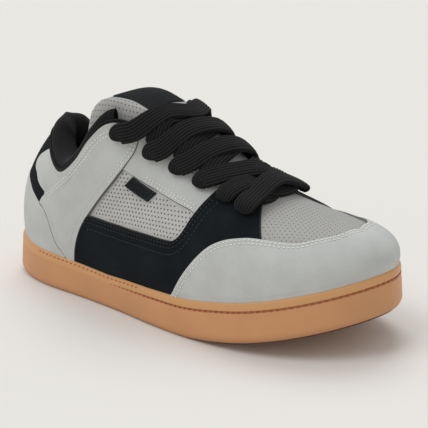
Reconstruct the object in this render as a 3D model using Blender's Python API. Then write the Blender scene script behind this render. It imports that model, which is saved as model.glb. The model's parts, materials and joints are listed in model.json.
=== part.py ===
"""Right low-top skateboarding shoe: cupsole, hollow last-shaped upper, overlays, tongue and laces.

Metres, +X to the toe, +Y to the medial side, +Z up. The origin is under the middle of the sole's box.
"""
import functools
import math

import bmesh
import bpy
import numpy as np

# Sole
SOLE_LENGTH = 0.300
BALL_WIDTH = 0.116
HEEL_WIDTH = 0.088
TOE_SPRING = 0.025
TOE_SPRING_START = 0.030
HEEL_LIFT = 0.003
HEEL_LIFT_RUN = 0.040
SOLE_HEEL_HEIGHT = 0.027
SOLE_WAIST_HEIGHT = 0.022
SOLE_TOE_HEIGHT = 0.026
CUP_WALL = 0.0045
CUP_FLOOR = 0.012
SOLE_EDGE_ROUND = 0.003
GROOVE_DEPTH = 0.0011
INSOLE_THICKNESS = 0.005

# Upper
UPPER_WALL = 0.0026
OVERLAY = 0.0014
TAG_THICKNESS = 0.0009
TOE_BOX_HEIGHT = 0.073
VAMP_HEIGHT = 0.084
INSTEP_HEIGHT = 0.123
ANKLE_HEIGHT = 0.083
HEEL_HEIGHT = 0.106
EYELET_BORE = 0.005
COLLAR_ROLL = 0.018
COLLAR_RISE = 0.007

# Tongue and laces
TONGUE_THICKNESS = 0.012
TONGUE_CROWN = 0.0165
TONGUE_END_RUN = 0.009
TONGUE_END_RISE = 0.0015
LABEL_THICKNESS = 0.0008
LABEL_START = 0.580
LACE_WIDTH = 0.012
LACE_THICKNESS = 0.0048

# Dip of the toe-most bar between the two edges of the throat
LACE_BAR_SAG = 0.0045
# Where a crossing ends on the tongue, as a share of the way to the next eyelet
LACE_TUCK = 0.15
# Where a pair of crossings meets, as a share of the way to the next eyelet
CROSSING_SHARE = 0.40

# Gap between pieces that meet, and a wider one between tiles and round the laces
FIT_GAP = 0.0003
OVERLAY_GAP = 0.0007
SEAM_GAP = 0.0005
EDGE_GAP = 0.0010
TONGUE_GAP = 0.0012
LACE_GAP = 0.0024

LATERAL = -1
MEDIAL = 1
HALF_LENGTH = 0.5 * SOLE_LENGTH
HALF_BALL = 0.5 * BALL_WIDTH
HALF_HEEL = 0.5 * HEEL_WIDTH

# Sole outline: share of the length from the heel, lateral and medial shares of half the local width
OUTLINE = (
    (0.020, -0.46, 0.56),
    (0.070, -0.73, 0.83),
    (0.150, -0.91, 0.97),
    (0.300, -0.985, 0.87),
    (0.420, -0.955, 0.76),
    (0.520, -0.955, 0.78),
    (0.620, -0.985, 0.89),
    (0.700, -1.00, 0.985),
    (0.790, -0.96, 1.00),
    (0.870, -0.815, 0.91),
    (0.940, -0.555, 0.73),
    (0.985, -0.235, 0.36),
)
HEEL_TIP_SHARE = 0.05
TOE_TIP_SHARE = 0.06

# Top edge of the upper: share round the sole from toe to heel, share of half the length,
# lateral and medial shares of half the ball width, share of the named height, named height
TOPLINE = (
    (0.000, 0.700, 0.10, 0.10, 1.000, TOE_BOX_HEIGHT),
    (0.100, 0.660, 0.10, 0.10, 1.012, TOE_BOX_HEIGHT),
    (0.200, 0.570, 0.09, 0.09, 1.060, TOE_BOX_HEIGHT),
    (0.280, 0.460, 0.05, 0.05, 0.985, VAMP_HEIGHT),
    (0.330, 0.410, -0.15, 0.22, 1.010, VAMP_HEIGHT),
    (0.400, 0.270, -0.27, 0.33, 1.070, VAMP_HEIGHT),
    (0.480, 0.090, -0.32, 0.37, 0.820, INSTEP_HEIGHT),
    (0.560, -0.090, -0.39, 0.41, 0.920, INSTEP_HEIGHT),
    (0.615, -0.205, -0.46, 0.45, 0.990, INSTEP_HEIGHT),
    (0.660, -0.300, -0.53, 0.51, 0.985, INSTEP_HEIGHT),
    (0.710, -0.390, -0.585, 0.57, 0.890, INSTEP_HEIGHT),
    (0.760, -0.470, -0.60, 0.59, 1.135, ANKLE_HEIGHT),
    (0.820, -0.575, -0.57, 0.60, 1.000, ANKLE_HEIGHT),
    (0.870, -0.665, -0.46, 0.52, 1.040, ANKLE_HEIGHT),
    (0.910, -0.730, -0.33, 0.40, 1.130, ANKLE_HEIGHT),
    (0.950, -0.775, -0.18, 0.26, 0.960, HEEL_HEIGHT),
    (1.000, -0.805, 0.05, 0.05, 1.000, HEEL_HEIGHT),
)
TOP_ROWS = tuple(
    (s, x * HALF_LENGTH, a * HALF_BALL, b * HALF_BALL, z * height) for s, x, a, b, z, height in TOPLINE
)
# Share round the sole where the closed vamp ends and the throat opens, and the level of its stitched edge
THROAT_FRONT = 0.280
THROAT_EDGE = 0.985

# Side profile: share round the sole, outward bulge as a share of half the ball width,
# height share of the lower handle, plan share and height share of the upper handle
PROFILE = (
    (0.00, 0.052, 0.66, 0.70, 0.00),
    (0.20, 0.052, 0.62, 0.64, 0.00),
    (0.32, 0.034, 0.55, 0.55, 0.05),
    (0.45, 0.017, 0.50, 0.45, 0.22),
    (0.60, 0.017, 0.45, 0.30, 0.40),
    (0.77, 0.034, 0.45, 0.20, 0.35),
    (0.88, 0.034, 0.44, 0.72, 0.30),
    (1.00, 0.034, 0.42, 0.98, 0.36),
)


def smoothstep(value):
    """Smooth rise from 0 to 1."""
    value = np.clip(value, 0.0, 1.0)
    return value * value * (3 - 2 * value)


def smooth_path(points, steps, closed=False):
    """Curve through the points, with short handles at close neighbours."""
    points = np.asarray(points, float)
    if closed:
        padded = np.vstack([points[-1:], points, points[:2]])
    else:
        padded = np.vstack([2 * points[0] - points[1], points, 2 * points[-1] - points[-2]])
    dense = []
    for p0, p1, p2, p3 in zip(padded, padded[1:], padded[2:], padded[3:]):
        knots = np.cumsum([0.0] + [np.linalg.norm(b - a) ** 0.5 for a, b in ((p0, p1), (p1, p2), (p2, p3))])
        t0, t1, t2, t3 = knots
        for t in np.linspace(t1, t2, steps, endpoint=False):
            a1 = ((t1 - t) * p0 + (t - t0) * p1) / (t1 - t0)
            a2 = ((t2 - t) * p1 + (t - t1) * p2) / (t2 - t1)
            a3 = ((t3 - t) * p2 + (t - t2) * p3) / (t3 - t2)
            b1 = ((t2 - t) * a1 + (t - t0) * a2) / (t2 - t0)
            b2 = ((t3 - t) * a2 + (t - t1) * a3) / (t3 - t1)
            dense.append(((t2 - t) * b1 + (t - t1) * b2) / (t2 - t1))
    if not closed:
        dense.append(points[-1])
    return np.array(dense)


@functools.lru_cache(maxsize=None)
def smooth_rows(rows, steps):
    """Smoothed rows of a table."""
    return smooth_path(rows, steps)


def read_table(rows, share, steps=12):
    """Columns of a table, smoothed, at shares of its first column."""
    dense = smooth_rows(tuple(rows), steps)
    share = np.atleast_1d(share)
    return [np.interp(share, dense[:, 0], dense[:, k]) for k in range(1, dense.shape[1])]


def half_width(share):
    """Half of the sole's local width, from heel to ball."""
    return HALF_HEEL + (HALF_BALL - HALF_HEEL) * smoothstep((share - 0.25) / 0.35)


def outline_sides():
    """Toe-to-heel polylines of the sole's lateral and medial edges."""
    lateral = [((s - 0.5) * SOLE_LENGTH, a * half_width(s)) for s, a, b in OUTLINE]
    medial = [((s - 0.5) * SOLE_LENGTH, b * half_width(s)) for s, a, b in OUTLINE]
    heel = (-HALF_LENGTH, HEEL_TIP_SHARE * half_width(0.0))
    toe = (HALF_LENGTH, TOE_TIP_SHARE * half_width(1.0))
    steps = 16
    dense = smooth_path([toe] + lateral[::-1] + [heel] + medial, steps, closed=True)
    cut = (len(lateral) + 1) * steps
    return {LATERAL: dense[:cut + 1], MEDIAL: np.vstack([dense[cut:], dense[:1]])[::-1]}


SIDES = outline_sides()


def walk(side, share):
    """Plan point at an arc-length share of one edge of the sole."""
    path = SIDES[side]
    run = np.concatenate([[0.0], np.cumsum(np.linalg.norm(np.diff(path, axis=0), axis=1))])
    return np.column_stack([np.interp(share, run / run[-1], path[:, k]) for k in (0, 1)])


def loop_point(w):
    """Plan point of the outline; w runs 0 toe to -1 heel (lateral) or +1 heel (medial)."""
    w = np.atleast_1d(np.asarray(w, float))
    w = np.where(w > 1, w - 2, np.where(w < -1, w + 2, w))
    return np.where((w < 0)[:, None], walk(LATERAL, -w), walk(MEDIAL, w))


def loop_inward(w):
    """Plan normal of the outline, pointing into the shoe."""
    w = np.atleast_1d(np.asarray(w, float))
    step = 0.006
    run = loop_point(w + step) - loop_point(w - step)
    normal = np.column_stack([-run[:, 1], run[:, 0]])
    return normal / np.linalg.norm(normal, axis=1)[:, None]


def sole_bottom(x):
    """Height of the tread face."""
    toe = np.clip((x - TOE_SPRING_START) / (HALF_LENGTH - TOE_SPRING_START), 0, 1)
    heel_start = -HALF_LENGTH + HEEL_LIFT_RUN
    heel = np.clip((heel_start - x) / HEEL_LIFT_RUN, 0, 1)
    return TOE_SPRING * toe ** 1.6 + HEEL_LIFT * heel ** 2


def wall_height(x):
    """Height of the sole's side wall."""
    places = [-HALF_LENGTH, -0.25 * HALF_LENGTH, 0.4 * HALF_LENGTH, HALF_LENGTH]
    return np.interp(x, places, [SOLE_HEEL_HEIGHT, SOLE_WAIST_HEIGHT, SOLE_TOE_HEIGHT, SOLE_TOE_HEIGHT])


def rim_height(x):
    """Height of the sole's top lip."""
    return sole_bottom(x) + wall_height(x)


def top_point(w):
    """Top edge of the upper."""
    share = np.abs(np.atleast_1d(w))
    share = np.where(share > 1, 2 - share, share)
    x, lateral, medial, z = read_table(TOP_ROWS, share)
    side = np.where(w > 1, -1, np.where(w < -1, 1, np.sign(w)))
    return np.column_stack([x, np.where(side < 0, lateral, medial), z])


def skin_point(w, t):
    """Outer skin of the upper at share w round the sole and share t from rim to top edge."""
    w = np.asarray(w, float).ravel()
    t = np.asarray(t, float).ravel()
    edge = loop_point(w)
    inward = loop_inward(w)
    foot = edge + inward * (CUP_WALL + FIT_GAP)
    rim = np.column_stack([foot, rim_height(edge[:, 0])])
    floor = sole_bottom(edge[:, 0]) + CUP_FLOOR + FIT_GAP
    top = top_point(w)
    share = np.abs(w)
    share = np.where(share > 1, 2 - share, share)
    bulge, low, out, drop = read_table(PROFILE, share)
    rise = top[:, 2] - rim[:, 2]
    lower = rim.copy()
    lower[:, :2] -= inward * (bulge * HALF_BALL)[:, None]
    lower[:, 2] += low * rise
    upper = top.copy()
    upper[:, :2] += (rim[:, :2] - top[:, :2]) * out[:, None]
    step = 0.01
    ahead = top_point(np.sign(w + 1e-9) * np.clip(share - step, 0, 1))
    behind = top_point(np.sign(w + 1e-9) * np.clip(share + step, 0, 1))
    run = ahead[:, 0] - behind[:, 0]
    slope = (ahead[:, 2] - behind[:, 2]) / np.where(np.abs(run) < 1e-6, 1e-6, run)
    closed = 1 - smoothstep((share - THROAT_FRONT + 0.03) / 0.10)
    upper[:, 2] += closed * slope * (upper[:, 0] - top[:, 0]) - drop * rise
    u = np.clip(t, 0, 1)[:, None]
    point = rim * (1 - u) ** 3 + 3 * lower * u * (1 - u) ** 2 + 3 * upper * u * u * (1 - u) + top * u ** 3
    point[:, 2] += (floor - rim[:, 2]) * np.clip(-t, 0, 1)
    return point


def skin(w, t, offset=0.0):
    """Skin moved outward along its normal by the offset."""
    w, t, offset = np.broadcast_arrays(np.asarray(w, float), np.asarray(t, float), np.asarray(offset, float))
    w, t, offset = w.ravel(), t.ravel(), offset.ravel()
    step = 0.004
    base = skin_point(w, t)
    level = np.minimum(t, 1 - step)
    across = skin_point(w + step, level) - skin_point(w - step, level)
    up = skin_point(w, level + step) - skin_point(w, np.where(t < 0, t, np.maximum(level - step, 0)))
    up[t < 0] = (0, 0, 1)
    normal = np.cross(across, up)
    normal /= np.linalg.norm(normal, axis=1)[:, None]
    return base + normal * offset[:, None]


# Number of stations from toe to heel on each side, and levels of the upper from cup floor to top edge
SIDE_STATIONS = 28
UPPER_LEVELS = (-1.0, 0.0, 0.10, 0.21, 0.33, 0.46, 0.59, 0.71, 0.82, 0.92, 1.0)

# Side of the cupsole, bottom to lip: share of the wall height, inset in shares of the edge rounding
SOLE_SIDE = (
    (0.00, 1.00),
    (0.05, 0.30),
    (0.14, 0.00),
    (0.45, 0.18),
    (0.70, 0.38),
    (0.90, 0.50),
    (1.00, 1.00),
)
# Stitch groove under the lip: share of the wall height, share of the groove depth
GROOVE = ((0.735, 0.0), (0.750, 1.0), (0.775, 1.0), (0.790, 0.0))

# Overlays, toe to heel: share and level of the lower edge, share and level of the upper edge
TOE_CAP = (
    (0.000, 0.02, 0.000, 0.745),
    (0.070, 0.02, 0.070, 0.710),
    (0.138, 0.02, 0.138, 0.615),
    (0.172, 0.02, 0.172, 0.555),
    (0.203, 0.02, 0.203, 0.520),
    (0.255, 0.02, 0.255, 0.500),
    (0.297, 0.02, 0.297, 0.480),
    (0.330, 0.02, 0.330, 0.455),
    (0.357, 0.02, 0.357, 0.400),
    (0.383, 0.02, 0.383, 0.300),
    (0.412, 0.02, 0.412, 0.140),
    (0.428, 0.02, 0.428, 0.060),
)
SIDE_PANEL = (
    (0.266, 0.515, 0.303, 0.985),
    (0.300, 0.495, 0.330, 0.985),
    (0.336, 0.470, 0.358, 0.985),
    (0.364, 0.410, 0.382, 0.985),
    (0.390, 0.310, 0.403, 0.985),
    (0.410, 0.210, 0.411, 0.800),
    (0.426, 0.120, 0.423, 0.595),
    (0.444, 0.020, 0.436, 0.420),
    (0.475, 0.020, 0.455, 0.360),
    (0.520, 0.020, 0.520, 0.340),
    (0.570, 0.020, 0.570, 0.325),
    (0.620, 0.020, 0.617, 0.315),
    (0.665, 0.020, 0.650, 0.322),
    (0.706, 0.020, 0.676, 0.330),
)
EYESTAY = (
    (0.431, 0.600, 0.409, 0.985),
    (0.480, 0.625, 0.460, 0.985),
    (0.527, 0.655, 0.512, 0.985),
    (0.565, 0.685, 0.550, 0.985),
    (0.603, 0.715, 0.584, 0.985),
)
# Rear quarter band, top to bottom: share and level of the front edge, share and level of the rear edge
QUARTER_BAND = (
    (0.590, 0.985, 0.958, 0.985),
    (0.597, 0.900, 0.938, 0.900),
    (0.601, 0.810, 0.918, 0.810),
    (0.613, 0.710, 0.893, 0.720),
    (0.630, 0.600, 0.841, 0.655),
    (0.647, 0.520, 0.840, 0.560),
    (0.663, 0.430, 0.840, 0.465),
    (0.682, 0.340, 0.812, 0.355),
    (0.696, 0.260, 0.788, 0.260),
    (0.709, 0.175, 0.768, 0.150),
    (0.716, 0.060, 0.744, 0.060),
    (0.717, 0.020, 0.734, 0.020),
)
HEEL_COUNTER = (
    (0.748, 0.02, 0.748, 0.055),
    (0.776, 0.02, 0.776, 0.140),
    (0.800, 0.02, 0.800, 0.270),
    (0.830, 0.02, 0.830, 0.385),
    (0.852, 0.02, 0.852, 0.450),
    (0.900, 0.02, 0.900, 0.448),
    (0.950, 0.02, 0.950, 0.465),
    (1.000, 0.02, 1.000, 0.485),
)
HEEL_PATCH = (
    (0.848, 0.470, 0.848, 0.648),
    (0.885, 0.462, 0.885, 0.665),
    (0.904, 0.464, 0.904, 0.720),
    (0.924, 0.468, 0.924, 0.800),
    (0.944, 0.474, 0.944, 0.900),
    (0.964, 0.482, 0.964, 0.985),
    (1.000, 0.500, 1.000, 0.985),
)
SIDE_TAG = (
    (0.537, 0.560, 0.522, 0.640),
    (0.568, 0.582, 0.553, 0.662),
    (0.598, 0.604, 0.584, 0.684),
)
# Eyelets, toe to ankle: share round the sole, level, lift of the lace there in shares of its thickness,
# share of the tongue's half width where a crossing ends beside the eyelet
EYELETS = (
    (0.325, 0.740, 0.40, 0.04),
    (0.375, 0.830, 0.35, 0.24),
    (0.435, 0.880, 0.20, 0.34),
    (0.490, 0.900, 0.15, 0.36),
    (0.550, 0.915, 0.15, 0.36),
    (0.625, 0.930, 0.25, 0.36),
)

# Section of a lace: shares of half its width and of half its thickness
LACE_SECTION = (
    (1.00, -0.40),
    (1.00, 0.40),
    (0.62, 1.00),
    (-0.62, 1.00),
    (-1.00, 0.40),
    (-1.00, -0.40),
    (-0.62, -1.00),
    (0.62, -1.00),
)

# Collar roll: share round the sole, share of the roll's thickness, lateral and medial share of its rise
COLLAR = (
    (0.652, 0.22, 0.25, 0.25),
    (0.680, 0.28, 0.32, 0.34),
    (0.710, 0.42, 0.40, 0.60),
    (0.760, 0.70, 0.65, 1.00),
    (0.820, 0.92, 0.95, 1.30),
    (0.870, 1.00, 1.00, 1.30),
    (0.920, 0.90, 1.00, 1.15),
    (1.000, 0.75, 0.90, 0.90),
)
# Section of the roll above the top edge: inward share of the thickness, share of the rise
ROLL_SECTION = ((0.03, 0.55), (0.25, 0.95), (0.50, 1.00), (0.80, 0.70), (1.00, -0.10), (0.98, -1.20), (0.80, -2.40))
COLLAR_LEVELS = (0.76, 0.86, 0.95, 1.0)

# Tongue: share round the sole, level of the side edges, share of the thickness, share of the crown
TONGUE = (
    (0.262, 0.930, 0.28, -0.14),
    (0.300, 0.900, 0.32, -0.08),
    (0.350, 0.860, 0.38, 0.06),
    (0.420, 0.850, 0.46, 0.26),
    (0.500, 0.850, 0.58, 0.46),
    (0.560, 0.850, 0.72, 0.62),
    (0.600, 0.850, 0.86, 0.82),
    (0.640, 0.850, 1.00, 1.00),
)
# Backward lean and narrowing of the tongue's sections near its free end, and the share where they start
TONGUE_RAKE = 0.45
TONGUE_TAPER = 0.12
TONGUE_RAKE_START = 0.56
# Free end of the tongue: share of the end run, width share, thickness share, share of the end rise
TONGUE_END = ((0.40, 0.96, 1.02, 0.85), (0.75, 0.93, 0.90, 1.00), (0.93, 0.88, 0.62, 0.72), (1.00, 0.84, 0.35, 0.35))


class Shell:
    """Vertices and faces of one closed piece."""

    def __init__(self):
        self.points = []
        self.faces = []

    def add(self, points):
        """Add points and return their numbers."""
        first = len(self.points)
        self.points.extend([tuple(p) for p in points])
        return list(range(first, len(self.points)))

    def band(self, lower, upper, closed=True):
        """Quads between two rows of equal length, without the ones that have shrunk to nothing."""
        count = len(lower)
        for k in range(count if closed else count - 1):
            face = []
            for number in (lower[k], lower[(k + 1) % count], upper[(k + 1) % count], upper[k]):
                if number not in face:
                    face.append(number)
            if len(face) > 2:
                self.faces.append(face)

    def rungs(self, ring, levels, height, flip=False):
        """Fill a ring of the sole with rows that join its two sides."""
        half = len(ring) // 2
        rows = []
        for k in range(1, half):
            left = np.array(self.points[ring[k]])
            right = np.array(self.points[ring[-k]])
            shares = np.linspace(0, 1, levels + 1)[1:-1]
            inner = [left + (right - left) * share for share in shares]
            inner = [(p[0], p[1], height(p[0])) for p in inner]
            rows.append([ring[k]] + self.add(inner) + [ring[-k]])
        rows.insert(0, [ring[0]] * (levels + 1))
        rows.append([ring[half]] * (levels + 1))
        for near, far in zip(rows, rows[1:]):
            self.band(far, near, closed=False) if flip else self.band(near, far, closed=False)

    def build(self, name, finish):
        """Make the object, with its faces turned outwards."""
        mesh = bpy.data.meshes.new(name)
        mesh.from_pydata(self.points, [], self.faces)
        work = bmesh.new()
        work.from_mesh(mesh)
        bmesh.ops.recalc_face_normals(work, faces=work.faces)
        work.to_mesh(mesh)
        work.free()
        mesh.shade_smooth()
        mesh.set_sharp_from_angle(angle=math.radians(50))
        mesh.materials.append(finish)
        piece = bpy.data.objects.new(name, mesh)
        bpy.context.scene.collection.objects.link(piece)
        return piece


def finish(name, colour, roughness):
    """Material of one kind of surface."""
    material = bpy.data.materials.new(name)
    material.use_nodes = True
    shader = material.node_tree.nodes["Principled BSDF"]
    shader.inputs["Base Color"].default_value = (*colour, 1)
    shader.inputs["Roughness"].default_value = roughness
    shader.inputs["Metallic"].default_value = 0.0
    return material


def side_shares():
    """Shares from toe to heel, closer together at both tips, one of them at the throat's front."""
    even = np.linspace(0, 1, SIDE_STATIONS + 1)
    shares = even - 0.075 * np.sin(2 * math.pi * even)
    nearest = np.abs(shares - THROAT_FRONT).argmin()
    shares[nearest] = THROAT_FRONT
    return shares


def loop_shares():
    """Ring round the shoe: toe, lateral side, heel, medial side."""
    shares = side_shares()
    return np.concatenate([-shares[:-1], [1.0], shares[-2:0:-1]])


def sole_ring(inset, height):
    """Points of the outline moved inwards, at a height worked out from each place."""
    ring = loop_shares()
    edge = loop_point(ring)
    plan = edge + loop_inward(ring) * inset
    return np.column_stack([plan, height(edge[:, 0])])


def make_outsole(material):
    """Cupsole: rounded tread edge, stitch groove, lip, inner wall and floor."""
    shell = Shell()
    side = [(share, inset * SOLE_EDGE_ROUND) for share, inset in SOLE_SIDE]
    levels = [share for share, inset in side]
    insets = [inset for share, inset in side]
    groove = [(share, np.interp(share, levels, insets) + depth * GROOVE_DEPTH) for share, depth in GROOVE]
    rings = []
    for share, inset in sorted(side + groove):
        points = sole_ring(inset, lambda x: sole_bottom(x) + wall_height(x) * share)
        rings.append(shell.add(points))
    rings.append(shell.add(sole_ring(CUP_WALL, rim_height)))
    rings.append(shell.add(sole_ring(CUP_WALL, lambda x: sole_bottom(x) + CUP_FLOOR)))
    for lower, upper in zip(rings, rings[1:]):
        shell.band(lower, upper)
    shell.rungs(rings[0], 5, sole_bottom, flip=True)
    shell.rungs(rings[-1], 5, lambda x: sole_bottom(x) + CUP_FLOOR)
    return shell.build("outsole", material)


def make_insole(material):
    """Footbed inside the wall of the upper, on the floor of the cup."""
    shell = Shell()
    inset = CUP_WALL + 2 * FIT_GAP + UPPER_WALL + SEAM_GAP
    base = CUP_FLOOR + FIT_GAP
    lower = shell.add(sole_ring(inset, lambda x: sole_bottom(x) + base))
    upper = shell.add(sole_ring(inset, lambda x: sole_bottom(x) + base + INSOLE_THICKNESS))
    shell.band(lower, upper)
    shell.rungs(lower, 4, lambda x: sole_bottom(x) + base, flip=True)
    shell.rungs(upper, 4, lambda x: sole_bottom(x) + base + INSOLE_THICKNESS)
    return shell.build("insole", material)


def upper_face(shell, offset):
    """Rows of one face of the upper, welded along the closed vamp."""
    ring = loop_shares()
    rows = []
    for level in UPPER_LEVELS[:-1]:
        rows.append(shell.add(skin(ring, level, offset)))
    points = skin(ring, UPPER_LEVELS[-1], offset)
    numbers = []
    count = len(ring)
    for k in range(count):
        mate = -k % count
        closed = abs(ring[k]) <= THROAT_FRONT + 1e-6
        if closed and mate < k:
            numbers.append(numbers[mate])
        else:
            place = 0.5 * (points[k] + points[mate]) if closed else points[k]
            numbers += shell.add([place])
    rows.append(numbers)
    for lower, upper in zip(rows, rows[1:]):
        shell.band(lower, upper)
    return rows


def make_upper(material):
    """Hollow upper with a wall of one thickness, open at the throat, the collar and underneath."""
    shell = Shell()
    outer = upper_face(shell, 0.0)
    inner = upper_face(shell, -UPPER_WALL)
    shell.band(inner[0], outer[0])
    ring = loop_shares()
    keep = [k for k in range(len(ring)) if abs(ring[k]) >= THROAT_FRONT - 1e-6]
    shell.band([outer[-1][k] for k in keep], [inner[-1][k] for k in keep], closed=False)
    return shell.build("upper", material)


def panel(name, rows, sides, material, across, low=OVERLAY_GAP, thickness=OVERLAY, steps=2):
    """Overlay between two offsets of the upper's skin, from the rows of its edges."""
    dense = smooth_path([(index, *row) for index, row in enumerate(rows)], steps)[:, 1:]
    if len(sides) == 2:
        mirrored = dense * (-1, 1, -1, 1)
        if rows[0][0] < 0.5:
            table = np.vstack([mirrored[:0:-1], dense])
        else:
            back = dense[-2::-1] * (-1, 1, -1, 1) + (2, 0, 2, 0)
            table = np.vstack([dense, back])
    else:
        table = dense * (sides[0], 1, sides[0], 1)
    shares = np.linspace(0, 1, across + 1)
    w = table[:, 0:1] + (table[:, 2:3] - table[:, 0:1]) * shares
    t = table[:, 1:2] + (table[:, 3:4] - table[:, 1:2]) * shares
    shell = Shell()
    faces = []
    for offset in (low, low + thickness):
        points = skin(w, t, offset).reshape(w.shape[0], w.shape[1], 3)
        faces.append([shell.add(row) for row in points])
    bottom, top = faces
    for rows_of in (bottom, top):
        for near, far in zip(rows_of, rows_of[1:]):
            shell.band(near, far, closed=False)
    shell.band(bottom[0], top[0], closed=False)
    shell.band(bottom[-1], top[-1], closed=False)
    for end in (0, -1):
        shell.band([row[end] for row in bottom], [row[end] for row in top], closed=False)
    return shell.build(name, material)


def side_name(side):
    """Word for a side of the shoe."""
    return "lateral" if side < 0 else "medial"


def punch_eyelets(piece, places):
    """Bore eyelet holes through a piece along the skin's normal."""
    cutter = Shell()
    reach = 3 * (UPPER_WALL + OVERLAY)
    for w, t in places:
        base = skin(w, t, -reach)[0]
        tip = skin(w, t, reach)[0]
        axis = (tip - base) / np.linalg.norm(tip - base)
        first = np.cross(axis, (1, 0, 0))
        first /= np.linalg.norm(first)
        second = np.cross(axis, first)
        rings = []
        for end in (base, tip):
            turns = [2 * math.pi * k / 10 for k in range(10)]
            circle = [end + 0.5 * EYELET_BORE * (math.cos(a) * first + math.sin(a) * second) for a in turns]
            rings.append(cutter.add(circle))
        cutter.band(rings[0], rings[1])
        cutter.faces.append(rings[0][::-1])
        cutter.faces.append(rings[1])
    tool = cutter.build(piece.name + "_cutter", piece.data.materials[0])
    tool.hide_render = True
    tool.display_type = "WIRE"
    cut = piece.modifiers.new("eyelets", "BOOLEAN")
    cut.operation = "DIFFERENCE"
    cut.solver = "EXACT"
    cut.object = tool


def make_collar(material):
    """Padded roll over the top edge, round the heel from one eyestay to the other."""
    shell = Shell()
    ring = loop_shares()
    start = COLLAR[0][0]
    keep = [w for w in ring if start < abs(w)]
    keep = [-start] + [w for w in keep if w < 0] + [1.0] + [w for w in keep if 0 < w < 1] + [start]
    w = np.array(keep)
    share = np.abs(w)
    thick, lateral, medial = read_table(COLLAR, share)
    rise = np.where(w < 0, lateral, medial) * COLLAR_RISE
    rise[share == 1.0] = (lateral * COLLAR_RISE)[share == 1.0]
    thick = thick * COLLAR_ROLL
    top = skin(w, 1.0, 0.0)
    inward = loop_inward(w)
    inside = -(UPPER_WALL + FIT_GAP + SEAM_GAP)
    columns = [skin(w, level, inside) for level in COLLAR_LEVELS]
    for offset in (-UPPER_WALL, 0.0):
        over = skin(w, 1.0, offset)
        over[:, 2] += EDGE_GAP
        columns.append(over)
    for depth, height in ROLL_SECTION:
        point = top.copy()
        point[:, :2] += inward * (depth * thick)[:, None]
        point[:, 2] += np.maximum(height * rise, height * COLLAR_RISE) + EDGE_GAP
        columns.append(point)
    rows = [shell.add([column[k] for column in columns]) for k in range(len(w))]
    for near, far in zip(rows, rows[1:]):
        shell.band(near, far)
    shell.faces.append(rows[0][::-1])
    shell.faces.append(rows[-1])
    return shell.build("collar_pad", material)


def tongue_row(share):
    """Side edge, edge of the throat, crown and thickness of the tongue at one share."""
    level, thickness, crown = [column[0] for column in read_table(TONGUE, share)]
    under = -(UPPER_WALL + TONGUE_GAP)
    sides = [skin(side * share, level, under)[0] for side in (LATERAL, MEDIAL)]
    throat = [skin(side * share, THROAT_EDGE, under)[0] for side in (LATERAL, MEDIAL)]
    middle = 0.5 * (throat[0] + throat[1])
    middle[2] += crown * TONGUE_CROWN
    return sides, throat, middle, thickness * TONGUE_THICKNESS


def tongue_face(share, steps):
    """Line over the tongue's top face from lateral to medial, leaning back and narrower near the free end."""
    sides, throat, middle, thickness = tongue_row(share)
    line = smooth_path([sides[0], throat[0], middle, throat[1], sides[1]], steps)
    near_end = smoothstep((share - TONGUE_RAKE_START) / (TONGUE[-1][0] - TONGUE_RAKE_START))
    line[:, 0] -= near_end * TONGUE_RAKE * (middle[2] - line[:, 2])
    line[:, 1] += near_end * TONGUE_TAPER * (middle[1] - line[:, 1])
    return line


def tongue_section(share):
    """Closed section of the tongue: top face, then the underside back."""
    sides, throat, middle, thickness = tongue_row(share)
    top = tongue_face(share, 3)
    across = np.linspace(-1, 1, len(top))
    depth = thickness * (0.30 + 0.70 * (1 - across ** 4))
    under = top - np.column_stack([0 * depth, 0 * depth, depth])
    centre = 0.5 * (sides[0][1] + sides[1][1])
    under[:, 1] = centre + (under[:, 1] - centre) * (1 - 0.5 * thickness / np.ptp(top[:, 1]))
    return np.vstack([top, under[::-1]])


def make_tongue(material):
    """Padded tongue under the eyestays, with its free end above the instep."""
    shell = Shell()
    shares = np.linspace(TONGUE[0][0], TONGUE[-1][0], 13)
    rows = [tongue_section(share) for share in shares]
    last = rows[-1]
    centre = last.mean(axis=0)
    for run, width, thickness, rise in TONGUE_END:
        row = last.copy()
        half = len(row) // 2
        middle = 0.5 * (last[:half] + last[:half - 1:-1])
        top = middle + (last[:half] - middle) * thickness
        under = middle - (last[:half] - middle) * thickness
        row = np.vstack([top, under[::-1]])
        row[:, 1] = centre[1] + (row[:, 1] - centre[1]) * width
        row[:, 0] -= run * TONGUE_END_RUN
        row[:, 2] += rise * TONGUE_END_RISE
        rows.append(row)
    numbers = [shell.add(row) for row in rows]
    for near, far in zip(numbers, numbers[1:]):
        shell.band(near, far)
    for row in (numbers[0], numbers[-1]):
        half = len(row) // 2
        shell.band(row[:half], row[:half - 1:-1], closed=False)
    return shell.build("tongue", material)


def strap(shell, path, normals, width, thickness):
    """Flat braid along a path: eight-sided rings and closed ends."""
    path = np.asarray(path, float)
    run = np.gradient(path, axis=0)
    run /= np.linalg.norm(run, axis=1)[:, None]
    side = np.cross(run, normals)
    side /= np.linalg.norm(side, axis=1)[:, None]
    up = np.cross(side, run)
    rings = []
    for k, place in enumerate(path):
        outline = []
        for across, height in LACE_SECTION:
            outline.append(place + 0.5 * width * across * side[k] + 0.5 * thickness * height * up[k])
        rings.append(shell.add(outline))
    for near, far in zip(rings, rings[1:]):
        shell.band(near, far)
    shell.faces.append(rings[0][::-1])
    shell.faces.append(rings[-1])


def lace_end(share, level, side, lift_share):
    """Middle of the lace above an eyelet, and the skin's normal there."""
    lift = OVERLAY_GAP + OVERLAY + LACE_GAP + (0.5 + lift_share) * LACE_THICKNESS
    place = skin(side * share, level, lift)[0]
    base = skin(side * share, level, 0.0)[0]
    return place, (place - base) / lift


def tongue_top(share, across):
    """Point of the tongue's top face; across is -1 to 1, with the throat's edges at half."""
    line = tongue_face(share, 8)
    places = np.linspace(-1, 1, len(line))
    return np.array([np.interp(across, places, line[:, k]) for k in range(3)])


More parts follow.
